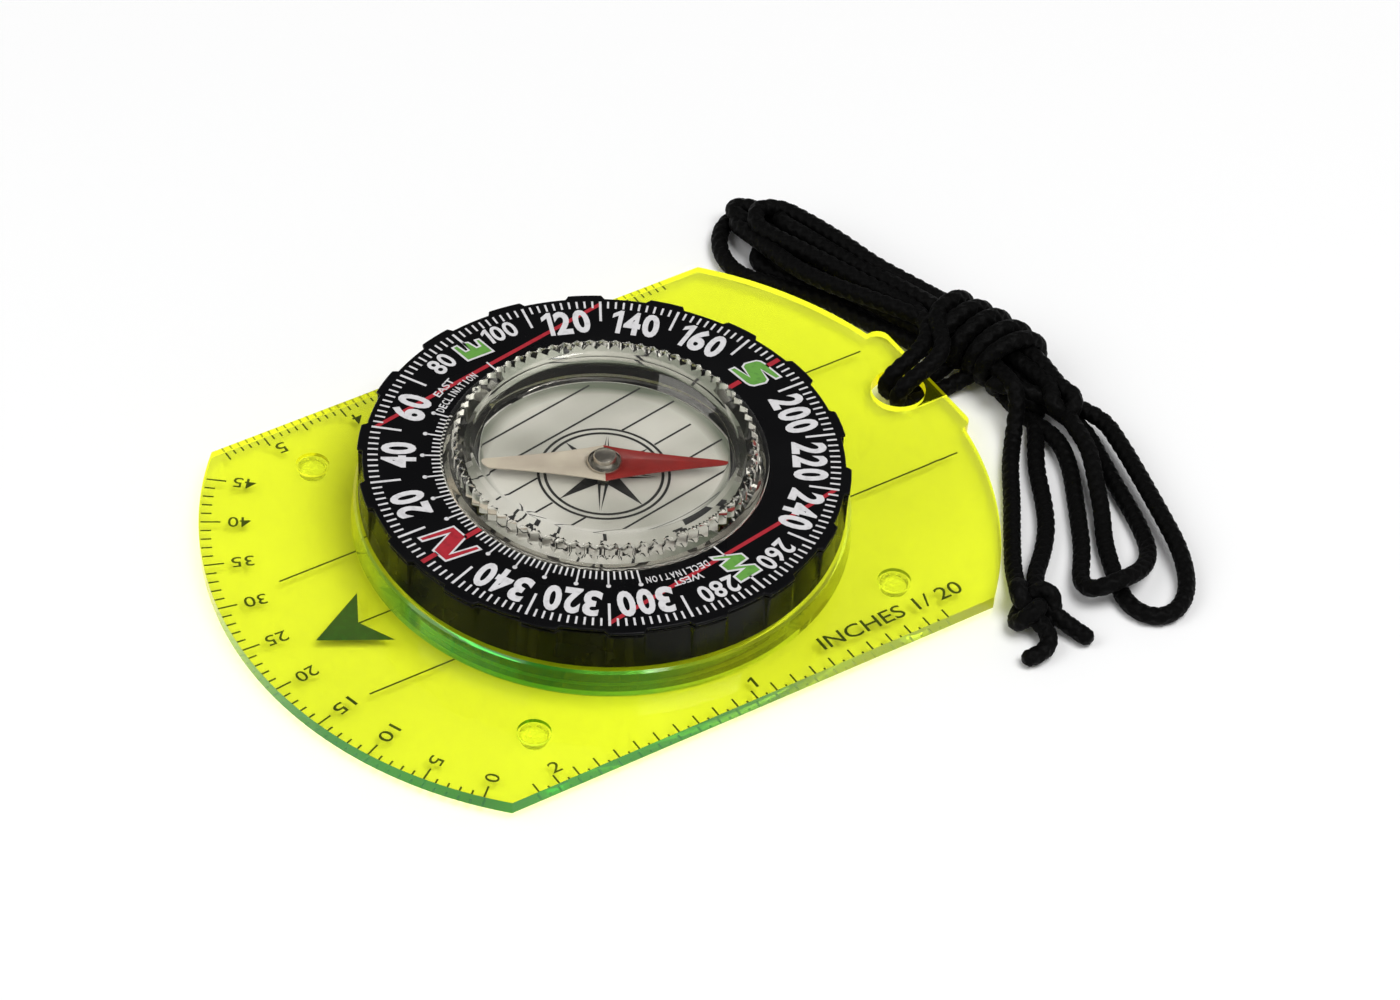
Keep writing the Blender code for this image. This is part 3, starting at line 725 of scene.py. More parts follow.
def braided_tube(name, points, material, nodes, closed=False):
    """A tube along a route, with the raised crossings of a round braid."""
    line = eased(smooth_route(points, TUBE_STEP, closed), 0 if closed else EASING_PASSES)
    count = len(line)
    if closed:
        heading = np.roll(line, -1, axis=0) - np.roll(line, 1, axis=0)
    else:
        heading = np.gradient(line, axis=0)
    heading /= np.linalg.norm(heading, axis=1)[:, None]
    travelled = np.concatenate([[0.0], np.cumsum(np.linalg.norm(np.diff(line, axis=0), axis=1))])
    across = np.cross(heading[0], (0.0, 0.0, 1.0))
    across /= np.linalg.norm(across)
    around = np.arange(TUBE_SIDES) * 2.0 * pi / TUBE_SIDES
    tube = np.zeros((count, TUBE_SIDES, 3))
    for place in range(count):
        across = across - heading[place] * (across @ heading[place])
        across /= np.linalg.norm(across)
        other = np.cross(heading[place], across)
        turn = 2.0 * pi * travelled[place] / BRAID_PITCH
        crossings = np.maximum(np.cos(STRANDS * (around + turn)), np.cos(STRANDS * (around - turn)))
        radius = CORD / 2 * (1.0 - BRAID_DEPTH + BRAID_DEPTH * crossings)
        if not closed:
            near_end = min(travelled[place], travelled[-1] - travelled[place])
            radius = radius * min(1.0, 0.55 + near_end / 1.2)
        tube[place] = line[place] + np.outer(radius * np.cos(around), across)
        tube[place] += np.outer(radius * np.sin(around), other)
    resting(tube, line)
    faces = []
    for place in range(count if closed else count - 1):
        here, there = place * TUBE_SIDES, (place + 1) % count * TUBE_SIDES
        for side in range(TUBE_SIDES):
            after = (side + 1) % TUBE_SIDES
            faces.append((here + side, here + after, there + after, there + side))
    if not closed:
        last = (count - 1) * TUBE_SIDES
        faces += [tuple(range(TUBE_SIDES))[::-1], tuple(range(last, last + TUBE_SIDES))]
    mesh = bpy.data.meshes.new(name)
    mesh.from_pydata((tube.reshape(-1, 3) * MM).tolist(), [], faces)
    mesh.update()
    mesh.shade_smooth()
    mesh.materials.append(material)
    made = in_scene(name, mesh)
    stands_for(made, "base", "braided_nylon", *nodes)
    return made, line


def make_lanyard():
    braid = black_braid()
    knot, _ = braided_tube("lanyard_knot", end_knot_route(), braid, ["lanyard_end_knot"], closed=True)
    sides = (
        ("lanyard_cord_inner", inner_cord_route(), INNER_EXIT, INNER_LENGTH, [knot], (
            "lanyard_eye_left", "lanyard_hank", "lanyard_side_loop", "lanyard_loop_inner",
            "lanyard_end_right", "lanyard_tail_back",
        )),
        ("lanyard_cord_outer", outer_cord_route(), OUTER_EXIT, OUTER_LENGTH, [], (
            "lanyard_eye_right", "lanyard_wrap", "lanyard_loop_outer", "lanyard_end_left",
            "lanyard_tail_front",
        )),
    )
    for name, route, leaves, length, pieces, nodes in sides:
        cord, line = braided_tube(name, route, braid, nodes)


# ---- baseplate

PLATE_HALF_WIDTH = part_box("baseplate")[1].x / MM
PLATE_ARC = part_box("baseplate")[1].y / MM - AXIS.y
EAR_X, EAR_HALF_WIDTH, EAR_CORNER = 2.4, 9.5, 1.5
HOLE_X, HOLE_Y, HOLE_RADIUS = 2.2, -41.3, 3.2
BOSS_TOP = top("baseplate")
BOSS_OUTER, BOSS_BORE = 28.2, 24.6
RECESS_RADIUS, RECESS_TOP = 26.0, 2.4
FEET = ("foot_front_left", "foot_front_right", "foot_rear_left", "foot_rear_right")
FOOT_POCKET, POCKET_TOP = 1.9, 1.7


def side_bearing(x):
    return degrees(asin((x - AXIS.x) / PLATE_ARC))


def plate_outline():
    right = PLATE_HALF_WIDTH
    ear_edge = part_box("baseplate")[0].y / MM
    ear_left, ear_right = EAR_X - EAR_HALF_WIDTH, EAR_X + EAR_HALF_WIDTH
    front = arc(AXIS.x, AXIS.y, PLATE_ARC, side_bearing(-right), side_bearing(right), 96)
    back_right = arc(AXIS.x, AXIS.y, PLATE_ARC, 180 - side_bearing(right), 180 - side_bearing(ear_right), 40)
    back_left = arc(AXIS.x, AXIS.y, PLATE_ARC, 180 - side_bearing(ear_left), 180 - side_bearing(-right), 40)
    ear = arc(ear_right - EAR_CORNER, ear_edge + EAR_CORNER, EAR_CORNER, 90, 180, 10)
    ear += arc(ear_left + EAR_CORNER, ear_edge + EAR_CORNER, EAR_CORNER, 180, 270, 10)
    return front + back_right + ear + back_left


def cutter(thing):
    thing.hide_render = True
    return thing


def drum(name, radius, low, high, sides, matrix=None):
    """A round cutter."""
    profile = [(0.0, low), (radius, low), (radius, high), (0.0, high)]
    return cutter(turned(name, profile, sides, matrix=matrix))


def combine(target, tool, operation):
    step = target.modifiers.new(tool.name, "BOOLEAN")
    step.operation = operation
    step.solver = "EXACT"
    step.object = tool


def bake_modifiers(thing, *tools):
    """Turns a piece's modifiers into its mesh and removes the shapes that they used."""
    mesh = evaluated_mesh(thing)
    thing.modifiers.clear()
    thing.data = mesh
    for tool in tools:
        bpy.data.objects.remove(tool)


def make_baseplate():
    sheet = Drawing(PLATE_BOTTOM, PLATE_TOP)
    sheet.prism(plate_outline())
    plate = sheet.made(
        # The sheet's own look, then the painted edge glow of its walls and of the boss.
        "plate_body", fluorescent_acrylic(), fluorescent_edge("fluorescent_edge", -0.010, 0.010, 0.5),
        fluorescent_edge("painted_boss_glow", 0.002, 0.022, 0.2),
    )
    on_axis = dial_frame(0)
    boss = cutter(turned("boss_shape", [
        (BOSS_BORE - 1.0, PLATE_BOTTOM + 0.3), (BOSS_OUTER - 1.0, PLATE_BOTTOM + 0.3),
        (BOSS_OUTER, PLATE_TOP + 0.25), (BOSS_OUTER - 0.25, BOSS_TOP - 0.25), (BOSS_OUTER - 0.55, BOSS_TOP),
        (BOSS_BORE - 1.0, BOSS_TOP),
    ], 192, matrix=on_axis))
    hole, relief, pockets = Drawing(0.0, PLATE_TOP + 1), Drawing(0.0, RELIEF_TOP), Drawing(0.0, POCKET_TOP)
    hole.disc(HOLE_X, HOLE_Y, HOLE_RADIUS, 48)
    relief.line(HOLE_X, HOLE_Y, HOLE_X, HOLE_Y - 8, 2 * HOLE_RADIUS)
    for foot in FEET:
        pockets.disc(middle(foot).x / MM, middle(foot).y / MM, FOOT_POCKET, 32)
    cuts = [
        drum("bore_shape", BOSS_BORE, 0.0, BOSS_TOP + 1, 192, on_axis),
        drum("recess_shape", RECESS_RADIUS, 0.0, RECESS_TOP, 192, on_axis),
        cutter(hole.made("hole_shape")),
        cutter(relief.made("relief_shape")),
        cutter(pockets.made("pocket_shape")),
    ]
    combine(plate, boss, "UNION")
    for cut in cuts:
        combine(plate, cut, "DIFFERENCE")
    soften(plate, 0.12, 2, 40)
    bake_modifiers(plate, boss, *cuts)
    # The walls take the painted edge glow: the sheet's edge and the boss each have their own.
    for face in plate.data.polygons:
        from_axis = Vector((face.center.x / MM - AXIS.x, face.center.y / MM - AXIS.y)).length
        if abs(face.normal.z) < 0.85 and from_axis > BOSS_OUTER - 0.7:
            face.material_index = 1 if from_axis > BOSS_OUTER + 0.5 else 2
    plate.data.set_sharp_from_angle(angle=radians(25))
    stands_for(plate, "base", "fluorescent_acrylic", "baseplate")


INCH = 25.4
PRINT_LINE = 0.22
LABEL_BOLD = 0.004
ARROW_TIP, ARROW_BACK, ARROW_NOTCH, ARROW_HALF_WIDTH = 37.4, 29.8, 32.0, 4.2
GUIDE_PITCH = 10.0
GUIDE_FRONT, GUIDE_BACK = 36.4, -41.6  # y of the outer guide lines' ends


def make_plate_prints():
    """Arrow, guide lines and the three edge scales, printed on the sheet's underside."""
    low, high = PLATE_BOTTOM + 0.01, PLATE_BOTTOM + 0.01 + PRINT
    middle_x = AXIS.x - 0.3
    arrow, lines = Drawing(low, high), Drawing(low, high)
    arrow.prism([
        (middle_x, ARROW_TIP), (middle_x + ARROW_HALF_WIDTH, ARROW_BACK), (middle_x + 0.1, ARROW_NOTCH),
        (middle_x - ARROW_HALF_WIDTH, ARROW_BACK),
    ])
    for offset in (-GUIDE_PITCH, 0.0, GUIDE_PITCH):
        x = middle_x + offset
        reach = sqrt(RECESS_RADIUS ** 2 - offset ** 2) + 0.4
        lines.line(x, AXIS.y + reach, x, GUIDE_FRONT if offset else ARROW_NOTCH, PRINT_LINE)
        if offset:
            lines.line(x, AXIS.y - reach, x, GUIDE_BACK, PRINT_LINE)
    inch_scale(lines)
    centimetre_scale(lines)
    front_arc_scale(lines)
    arrow_ink = ink("arrow_green", (0.002, 0.055, 0.06), (0.003, 0.08, 0.06))
    plate_ink = ink("plate_ink", (0.006, 0.022, 0.012), (0.010, 0.035, 0.018))
    for thing in (arrow.made("direction_arrow", arrow_ink), lines.made("plate_scales", plate_ink)):
        stands_for(thing, "base", "dial_print")


def inch_scale(lines):
    """Twentieths of an inch along the right-hand edge, zero at the back."""
    zero_y, edge, inner = -25.35, -PLATE_HALF_WIDTH + 0.1, -29.75
    for count in range(43):
        y = zero_y + count * INCH / 20
        start, stop = (edge, inner) if count % 2 == 0 else (edge + 0.3, edge + 0.85)
        lines.line(start, y, stop, y, PRINT_LINE)
    for label, count, width in (("1", 20, 0.75), ("2", 40, 1.25)):
        spot = Matrix.Translation((inner + 0.95, zero_y - 0.8 + count * INCH / 20, 0)) @ spun(-90)
        lines.text(label, width, 1.6, spot, LABEL_BOLD)
    lines.text("INCHES 1/ 20", 18.8, 1.95, Matrix.Translation((-27.6, -19.9, 0)) @ spun(-90), LABEL_BOLD)


def centimetre_scale(lines):
    """Millimetres along the left-hand edge."""
    edge, zero_y = PLATE_HALF_WIDTH - 0.1, -23.5
    for count in range(-4, 56):
        inner = 30.2 if count % 10 == 0 else (30.4 if count % 5 == 0 else 30.95)
        lines.line(edge, zero_y + count, inner, zero_y + count, 0.2)
    for label in range(6):
        spot = Matrix.Translation((29.3, zero_y - 1 + label * 10, 0)) @ spun(90)
        lines.text(str(label), 1.2, 1.7, spot, LABEL_BOLD)


def front_arc_scale(lines):
    """A slope scale along the front edge, numbered in fives that read outwards."""
    first, pitch, outer = -41.75, 1.789, PLATE_ARC - 0.2
    for count in range(46):
        bearing = first + pitch * count
        x1, y1 = on_bearing(bearing, 42.75 if count % 5 == 0 else 43.8)
        x2, y2 = on_bearing(bearing, outer)
        lines.line(AXIS.x + x1, AXIS.y + y1, AXIS.x + x2, AXIS.y + y2, PRINT_LINE)
    for count in range(0, 50, 5):
        radius, width = (41.45, 1.2) if count < 10 else (40.65, 2.55)
        spot = Matrix.Translation((AXIS.x, AXIS.y, 0)) @ outward(first + pitch * count, radius) @ spun(90)
        lines.text(str(count), width, 1.6, spot, LABEL_BOLD)


def make_feet():
    material = clear_silicone()
    profile = [
        (0.0, 0.0), (1.15, 0.0), (1.35, 0.05), (1.5, 0.18), (1.58, 0.4), (1.6, 0.8), (1.6, 1.42), (0.0, 1.42),
    ]
    for name in FEET:
        spot = middle(name)
        foot = turned(name.replace("foot", "pad"), profile, 48, material,
                      matrix=Matrix.Translation((spot.x, spot.y, 0.0)))
        stands_for(foot, "base", "silicone", name)


# ---- bezel

GRIP_PADS, PAD_HEIGHT = 18, 0.6
PAD_CENTRE, PAD_HALF, PAD_RAMP = 357.1, 4.8, 0.8  # degrees
PAD_PITCH = 360.0 / GRIP_PADS
BEZEL_RADIUS = 27.0
DIAL_BORE = 17.9


def grip_wave(angle):
    """Height of the finger pads above the bezel's round side, at an angle of the dial."""
    off = abs((degrees(angle) - (PAD_CENTRE - DIAL_BEARING) + PAD_PITCH / 2) % PAD_PITCH - PAD_PITCH / 2)
    if off <= PAD_HALF - PAD_RAMP:
        return PAD_HEIGHT
    if off >= PAD_HALF:
        return 0.0
    return PAD_HEIGHT * (PAD_HALF - off) / PAD_RAMP


def grip_angles():
    """Angles that catch the ends of every pad's ramps, and enough between to look round."""
    inner, outer = PAD_HALF - PAD_RAMP, PAD_HALF
    offsets = [-outer, -inner, -inner / 2, 0.0, inner / 2, inner, outer]
    offsets += [outer + (PAD_PITCH - 2 * outer) * step / 6 for step in range(1, 6)]
    centre = PAD_CENTRE - DIAL_BEARING
    return [radians(centre + PAD_PITCH * pad + offset) for pad in range(GRIP_PADS) for offset in offsets]


def make_bezel():
    ring = turned("turning_bezel", [
        (DIAL_BORE, 10.3), (DIAL_BORE, 11.3), (BEZEL_RADIUS - 0.1, 11.3, 1), (BEZEL_RADIUS - 0.1, 10.9, 1),
        (BEZEL_RADIUS + 0.4, 7.0), (BEZEL_RADIUS + 0.4, 6.55), (25.6, 6.55), (25.6, 10.3), (24.3, 10.3),
        (24.3, 2.4), (22.9, 2.4), (22.9, 10.3),
    ], grip_angles(), smoke_acrylic(), wave=grip_wave)
    stands_for(soften(ring, 0.16), "bezel", "smoke_acrylic", "bezel_ring")
    disc = turned("scale_disc", [
        (DIAL_BORE, 11.6), (DIAL_BORE, DIAL_TOP), (BEZEL_RADIUS - 0.12, DIAL_TOP, 1),
        (BEZEL_RADIUS, DIAL_TOP - 0.1, 1), (BEZEL_RADIUS, 11.6, 1),
    ], grip_angles(), dial_black(), wave=grip_wave)
    stands_for(soften(disc, 0.06), "bezel", "dial_print", "dial_scale_ring")
    nylon = moulded("natural_nylon", (0.72, 0.71, 0.64), (0.62, 0.61, 0.54), 0.4)
    keeper = turned("keeper_ring", [(22.9, 1.45), (22.9, 2.1), (25.7, 2.1), (25.7, 1.45)], 160, nylon)
    stands_for(soften(keeper, 0.12), "bezel", "natural_nylon", "bezel_retaining_ring")
    rubber = moulded("seal_rubber", (0.02, 0.02, 0.02), (0.035, 0.035, 0.034), 0.6)
    section = [(24.975 + 0.325 * cos(turn), 6.85 - 0.32 * sin(turn)) for turn in even_angles(12)]
    washer = turned("glide_ring", section, 160, rubber, matrix=dial_frame(0))
    stands_for(washer, "base", "seal_rubber", "friction_ring")


NUMBER_MIDDLE, NUMBER_HEIGHT, NUMBER_ADVANCE, NUMBER_BOLD = 22.95, 3.95, 2.15, 0.04
SMALL_MIDDLE, SMALL_HEIGHT, SMALL_ADVANCE, SMALL_BOLD = 23.72, 2.6, 1.62, 0.022
SMALL_NUMBERS = {80: -0.1, 100: 0.7, 260: -0.9, 280: -0.2}  # beside E and W, each moved a little
WORD_HEIGHT, WORD_BOLD = 0.95, 0.015
TICK_INNER, TICK_OUTER, LONG_TICK_INNER = 25.25, 26.4, 23.0
RED_LINE_EAST, RED_LINE_END = 19.9, 26.0
LETTER_MARGIN = 0.25  # width of the white border


def both_ways(*points):
    """Half of an outline, and the same half turned round its middle."""
    return [*points] + [(-x, -y) for x, y in points]


LETTERS = {  # the middle's east and north, and the outline about it
    "N": (0.3, 22.25, both_ways((2.95, 2.2), (2.05, 2.2), (1.28, -0.6), (0.42, 2.2), (-1.9, 2.2))),
    "E": (22.95, -0.17, [
        (-1.15, 1.78), (1.85, 1.78), (1.8, 0.9), (0.4, 0.78), (0.38, 0.5), (1.75, 0.25), (1.4, -0.45),
        (0.15, -0.65), (0.12, -0.92), (1.3, -1.1), (1.1, -1.78), (-1.75, -1.78),
    ]),
    "S": (-0.05, -22.7, both_ways(
        (2.42, 2.0), (2.3, 1.08), (0.1, 0.92), (1.8, 0.5), (2.08, -0.15), (1.6, -1.6), (1.15, -1.95),
        (0.6, -2.05),
    )),
    "W": (-21.63, -0.1, [
        (2.64, 1.65), (1.88, 1.65), (1.12, 0.5), (0.93, 1.65), (-0.4, 1.65), (-1.07, 0.31), (-1.29, 1.65),
        (-2.64, 1.65), (-2.65, -1.65), (-1.32, -1.65), (-0.45, -0.19), (-0.33, -1.65), (0.83, -1.65),
    ]),
}


def inset(outline, margin):
    """The outline with each side moved inwards."""
    around = sum(x1 * y2 - x2 * y1 for (x1, y1), (x2, y2) in zip(outline, outline[1:] + outline[:1]))
    inwards = margin if around > 0 else -margin
    points = []
    for before, here, after in zip(outline[-1:] + outline[:-1], outline, outline[1:] + outline[:1]):
        here = Vector(here)
        first, second = (here - Vector(before)).normalized(), (Vector(after) - here).normalized()
        corner = Vector((-first.y - second.y, first.x + second.x))
        points.append(tuple(here + corner * inwards / max(0.2, 1.0 + first @ second)))
    return points


def letters(drawing, names, margin):
    """The big letters; all four stand with their tops to the north."""
    for name in names:
        east, north, outline = LETTERS[name]
        drawing.prism([(east + x, north + y) for x, y in inset(outline, margin)])


def dial_numbers(white):
    for bearing in range(20, 360, 20):
        if bearing in SMALL_NUMBERS:
            spot = outward(bearing + SMALL_NUMBERS[bearing], SMALL_MIDDLE)
            white.number(bearing, SMALL_ADVANCE, SMALL_HEIGHT, spot, SMALL_BOLD)
        elif bearing != 180:
            white.number(bearing, NUMBER_ADVANCE, NUMBER_HEIGHT, outward(bearing, NUMBER_MIDDLE), NUMBER_BOLD)


def declination_ticks(white):
    """Two-degree ticks on the inner edge, 60 degrees each side of north, with a dot on every tenth."""
    for bearing in range(-60, 61, 2):
        if bearing == 0:
            continue
        long = bearing % 10 == 0
        white.tick(bearing, 18.0, 20.1 if long else 19.3, 0.2)
        if long:
            white.disc(*on_bearing(bearing, 20.3), 0.27)


def declination_words(white):
    for bearing, radius, word, width in ((72, 21.15, "EAST", 3.3), (285.5, 20.95, "WEST", 3.6)):
        white.text(word, width, WORD_HEIGHT, outward(bearing, radius), WORD_BOLD)
    for start in (62.2, 277.0):
        for place, letter in enumerate("DECLINATION"):
            width = 0.16 if letter == "I" else 0.54
            white.text(letter, width, WORD_HEIGHT, outward(start + place * 2.02, 19.75), WORD_BOLD)


def make_dial_prints():
    low, high = DIAL_TOP + 0.005, DIAL_TOP + PRINT
    white = Drawing(low, high)
    for bearing in range(0, 360, 2):
        if bearing % 20 == 10:
            white.tick(bearing, LONG_TICK_INNER, TICK_OUTER, 0.3)
        elif bearing % 180:
            white.tick(bearing, TICK_INNER, TICK_OUTER, 0.24)
    declination_ticks(white)
    dial_numbers(white)
    declination_words(white)
    for bearing in (90, 270):
        white.tick(bearing, 18.1, 20.4, 0.2)
    letters(white, LETTERS, 0.0)

    red = Drawing(low - 0.004, low + 0.008)
    for east in (-RED_LINE_EAST, RED_LINE_EAST):
        reach = sqrt(RED_LINE_END ** 2 - RED_LINE_EAST ** 2)
        red.line(east, -reach, east, reach, 0.5)
    red.at(low, high)
    for bearing in (0, 180):
        red.tick(bearing, 24.3, TICK_OUTER, 0.62)
        red.tick(bearing, 18.0, 20.4, 0.62)
    letters(red.at(high + 0.004, high + PRINT), ("N",), LETTER_MARGIN)

    green = Drawing(high + 0.004, high + PRINT)
    letters(green, ("E", "S", "W"), LETTER_MARGIN)
    for name, drawing, colour, worn in (
        ("white", white, (0.68, 0.67, 0.68), (0.56, 0.55, 0.56)),
        ("red", red, (0.40, 0.014, 0.026), (0.30, 0.010, 0.02)),
        ("green", green, (0.12, 0.33, 0.05), (0.09, 0.26, 0.04)),
    ):
        marks = drawing.made("dial_marks_" + name, ink(name + "_ink", colour, worn), matrix=dial_frame())
        stands_for(marks, "bezel", "dial_print")


# ---- capsule

TEETH, TOOTH_DEPTH = 72, 0.65
PLUG_EAST = 12.0


def tooth_wave(angle):
    """Rounded tooth tips with sharper valleys."""
    phase = abs((angle * TEETH / (2 * pi) + 0.5) % 1.0 - 0.5) * 2.0
    return -TOOTH_DEPTH * phase ** 1.3


def wet(piece, radius, low, high):
    """Gives the liquid's look to the walls within a radius and between two heights."""
    for face in piece.data.polygons:
        x, y, z = face.center / MM
        if sqrt(x * x + y * y) < radius and low < z < high:
            face.material_index = 1


def plug_frame():
    return dial_frame() @ Matrix.Translation((PLUG_EAST * MM, 0, 0))


def make_capsule():
    looks = clear_acrylic(), acrylic_to_liquid()
    lid = turned("capsule_lid", [
        (0.0, 13.2), (0.0, 14.2), (13.7, 14.2), (13.95, 14.23), (14.75, 14.62), (14.95, 14.7), (16.1, 14.7),
        (16.6, 14.68), (16.95, 14.6, 1), (17.1, 14.45, 1), (17.1, 12.75, 1), (18.1, 12.75), (18.3, 12.68),
        (18.35, 12.5), (18.35, 12.3), (17.4, 12.3), (17.4, 5.5), (15.8, 5.5), (15.8, 12.6), (15.2, 13.2),
    ], TEETH * 8, *looks, wave=tooth_wave, sharp=28)
    wet(lid, 15.9, 0.0, 13.5)
    stands_for(lid, "capsule", "clear_acrylic", "capsule_top")

    cup = turned("capsule_cup", [
        (0.0, 4.2), (18.5, 4.2), (18.8, 4.3), (18.9, 4.6), (18.9, 10.0), (17.7, 10.0), (17.7, 5.2),
        (1.7, 5.2), (1.5, 6.4), (0.85, 6.4), (0.85, 4.6), (0.0, 4.6),
    ], 288, *looks, sharp=28)
    plug_hole = drum("plug_shape", 1.3, 3.0, 5.6, 32, plug_frame())
    combine(cup, plug_hole, "DIFFERENCE")
    bake_modifiers(cup, plug_hole)
    wet(cup, 17.75, 4.5, 20.0)
    stands_for(cup, "capsule", "clear_acrylic", "capsule_base")


CARD_LINE = 0.26
ARROWHEAD_TIP = 13.9
MIDDLE_LINES = ((7.7, 12.8), (-13.3, -7.7))
CARD_LINES = (  # east, and where the line starts and stops to the north
    (4.15, 6.4, 12.7), (4.15, -14.4, -6.4), (8.27, -12.8, 12.3), (12.3, -8.5, 8.5),
)


def make_dial_card():
    card = turned("rose_card", [(2.0, 5.5), (2.0, 5.8), (15.5, 5.8), (15.5, 5.5)], 160, silver_card())
    stands_for(card, "capsule", "silver_card", "dial_card")
    black = Drawing(CARD_TOP + 0.005, CARD_TOP + PRINT)
    for side in (-1, 1):
        for east, south, north in CARD_LINES:
            black.line(side * east, south, side * east, north, CARD_LINE)
        black.line(0, ARROWHEAD_TIP, side * 2.1, 11.0, CARD_LINE + 0.06)
    for south, north in MIDDLE_LINES:
        black.line(0, south, 0, north, CARD_LINE)
    black.ring(7.32, 7.64)
    black.ring(6.56, 6.9)
    long_point = [[(0.0, 6.7), (0.66, 2.85), (0.86, 1.7), (0.0, 0.9), (-0.86, 1.7), (-0.66, 2.85)]]
    half_point = [(0.07, 6.3), (0.48, 2.85), (0.62, 1.7), (0.24, 1.7)]
    split_point = [[(side * x, y) for x, y in half_point] for side in (-1, 1)]
    for point in range(8):
        turn = spun(-45.0 * point)
        for outline in (split_point if point % 2 else long_point):
            black.prism([(turn @ Vector((x, y, 0)))[:2] for x, y in outline])
    card_ink = ink("card_ink", (0.008, 0.008, 0.008), (0.02, 0.02, 0.02))
    stands_for(black.made("card_lines", card_ink, matrix=dial_frame()), "capsule", "dial_print")


def make_inner_fittings():
    rubber = moulded("plug_rubber", (0.03, 0.03, 0.03), (0.05, 0.05, 0.048), 0.55)
    plug = turned("filling_plug", [
        (0.0, 3.5), (1.4, 3.5), (1.58, 3.62), (1.6, 3.9), (1.0, 3.9), (1.0, 5.0), (0.9, 5.1), (0.0, 5.1),
    ], 40, rubber, matrix=plug_frame())
    stands_for(plug, "capsule", "seal_rubber", "fill_plug")
    steel = plated_metal("pivot_steel", (0.55, 0.55, 0.55), 0.12, 0.28)
    profile = [(0.0, 4.9), (0.5, 4.9), (0.55, 4.95), (0.55, 8.3), (0.12, 9.0), (0.0, 9.06)]
    stands_for(turned("steel_pivot", profile, 32, steel), "capsule", "pivot_steel", "pivot_pin")


# ---- needle

NEEDLE_NORTH, NEEDLE_SOUTH = 14.4, 14.7


def needle_half_width(share):
    return 0.3 + 1.9 * (1.0 - share) + 0.75 * (1.0 - share) ** 3


def needle_outline():
    """North end, a sharp point, towards +Y; the south end is blunter."""
    shares = [step / 16 * 0.9 for step in range(17)]
    east = [(needle_half_width(share), share * NEEDLE_NORTH) for share in shares]
    south = [(needle_half_width(share) + 0.35 * share, -share * NEEDLE_SOUTH) for share in shares[:0:-1]]
    tip = [(0.16, NEEDLE_NORTH - 0.08), (0.0, NEEDLE_NORTH), (-0.16, NEEDLE_NORTH - 0.08)]
    tail = [(-0.5, -NEEDLE_SOUTH + 0.25), (0.0, -NEEDLE_SOUTH), (0.5, -NEEDLE_SOUTH + 0.25)]
    west = [(-x, y) for x, y in east[::-1] + south[::-1]]
    return east + tip + west + tail + south


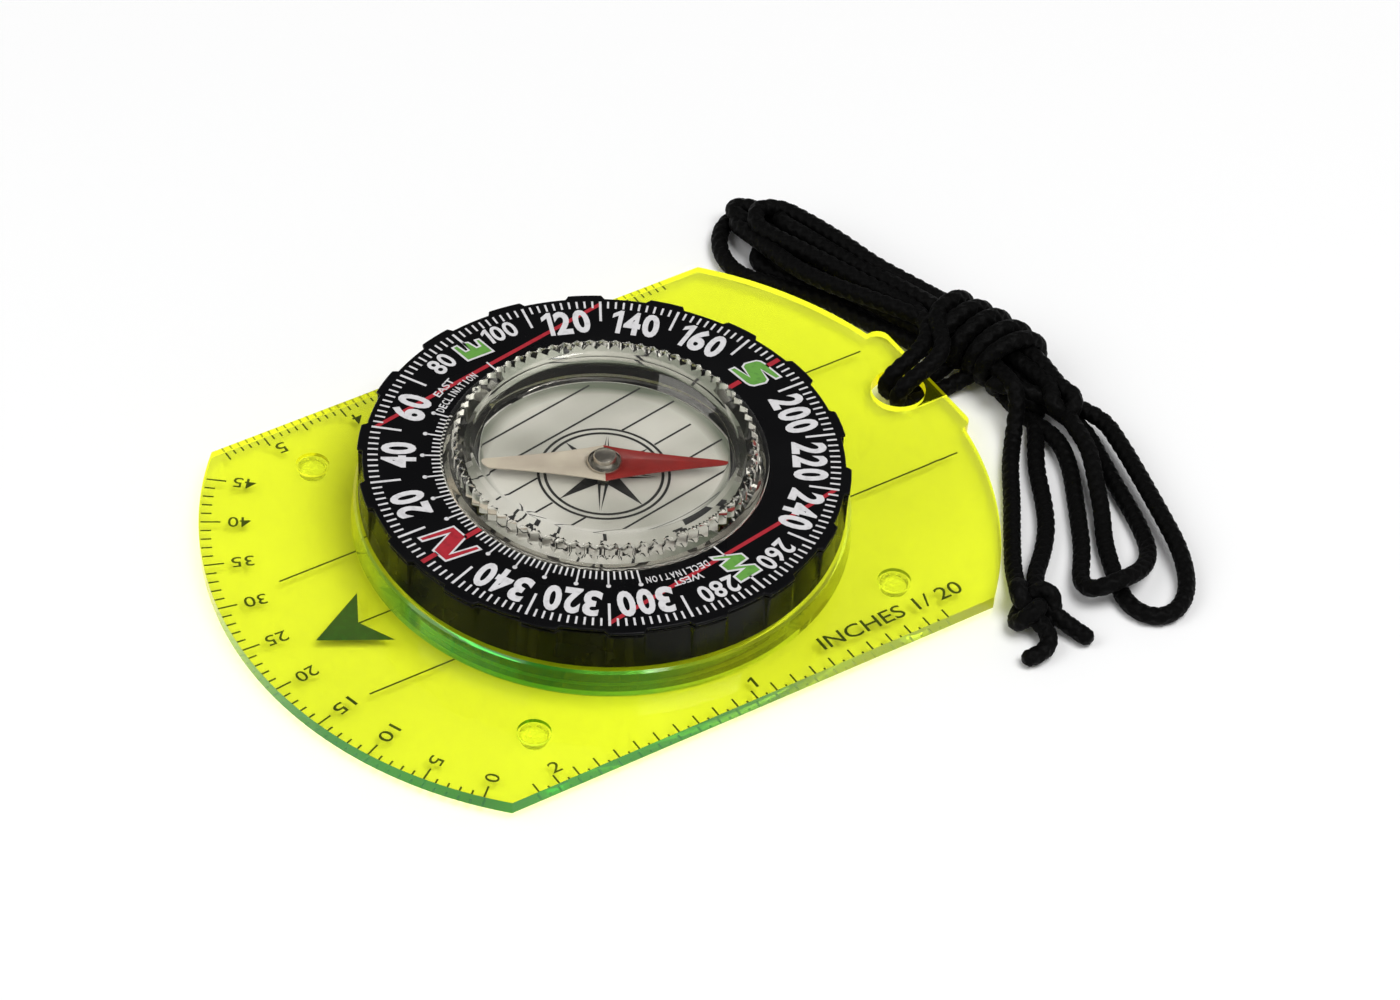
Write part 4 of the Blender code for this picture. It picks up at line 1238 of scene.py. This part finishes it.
def make_needle():
    red = needle_paint("needle_red", (0.25, 0.010, 0.007), (0.19, 0.008, 0.005))
    ivory = needle_paint("needle_ivory", (0.54, 0.48, 0.39), (0.46, 0.40, 0.33))
    sheet = Drawing(bottom("needle"), top("needle"))
    sheet.prism(needle_outline())
    whole = [*sheet.shape.verts, *sheet.shape.edges, *sheet.shape.faces]
    bmesh.ops.bisect_plane(sheet.shape, geom=whole, plane_co=(0, 0, 0), plane_no=(0, 1, 0))
    at_needle = dial_frame(NEEDLE_BEARING)
    blade = sheet.made("needle_blade", red, ivory, matrix=at_needle)
    hole = drum("blade_hole", 0.95, 8.0, 9.5, 40)
    combine(blade, hole, "DIFFERENCE")
    soften(blade, 0.04, 1, 50)
    bake_modifiers(blade, hole)
    for face in blade.data.polygons:
        face.material_index = 0 if face.center.y > 0 else 1
    stands_for(blade, "needle", "needle_paint", "needle")

    hub = turned("hub_cap", [
        (0.9, 9.15), (1.9, 9.15), (2.02, 9.25), (2.03, 9.45), (1.95, 9.7), (1.75, 9.93), (1.5, 10.08),
        (1.34, 10.2), (1.3, 10.4), (1.28, 11.0), (1.22, 11.12), (1.1, 11.15), (0.0, 11.15), (0.0, 10.3),
        (0.9, 10.3),
    ], 64, plated_metal("hub_nickel", (0.62, 0.58, 0.52), 0.10, 0.26), matrix=at_needle)
    stands_for(hub, "needle", "hub_nickel", "needle_hub")
    profile = [(0.0, 9.5), (0.3, 9.44), (0.55, 9.42), (0.6, 9.48), (0.6, 9.95), (0.55, 10.0), (0.0, 10.0)]
    jewel = turned("bearing_jewel", profile, 32, ruby(), matrix=at_needle)
    stands_for(jewel, "needle", "jewel", "needle_jewel")


# ---- stage and light

def make_stage():
    shape = bmesh.new()
    bmesh.ops.create_grid(shape, x_segments=1, y_segments=1, size=3000.0)
    ground = Shader("pale_floor", (0.97, 0.97, 0.97), 0.9, specular_ior_level=0.1)
    floor = shaped("floor", shape, [ground.material])
    floor.location.z = -0.00005


def area_light(name, spot, size, power):
    """A square lamp that faces the object."""
    data = bpy.data.lights.new(name, "AREA")
    data.size = size
    data.energy = power
    lamp = in_scene(name, data)
    lamp.location = spot
    lamp.rotation_mode = "QUATERNION"
    lamp.rotation_quaternion = (-Vector(spot)).to_track_quat("-Z", "Y")


def make_lights():
    scene = bpy.context.scene
    scene.view_settings.view_transform = "Standard"
    scene.world = bpy.data.worlds.new("studio")
    scene.world.use_nodes = True
    tree = scene.world.node_tree
    kinds = "ShaderNodeTexCoord", "ShaderNodeSeparateXYZ", "ShaderNodeMapRange"
    direction, apart, level = (tree.nodes.new(kind) for kind in kinds)
    for place, value in zip((1, 2, 3, 4), (0.25, 0.6, 0.55, 0.12)):  # bright low walls, a dim ceiling
        level.inputs[place].default_value = value
    tree.links.new(direction.outputs["Generated"], apart.inputs[0])
    tree.links.new(apart.outputs["Z"], level.inputs[0])
    tree.links.new(level.outputs[0], tree.nodes["Background"].inputs["Strength"])
    tree.nodes["Background"].inputs["Color"].default_value = (1.0, 1.0, 1.0, 1.0)
    area_light("key", (-0.6, -0.2, 1.6), 1.0, 22.0)
    area_light("fill", (0.2, 1.2, 1.2), 1.2, 10.4)


make_camera()
make_lanyard()
make_baseplate()
make_plate_prints()
make_feet()
make_bezel()
make_dial_prints()
make_capsule()
make_dial_card()
make_inner_fittings()
make_needle()
make_stage()
make_lights()
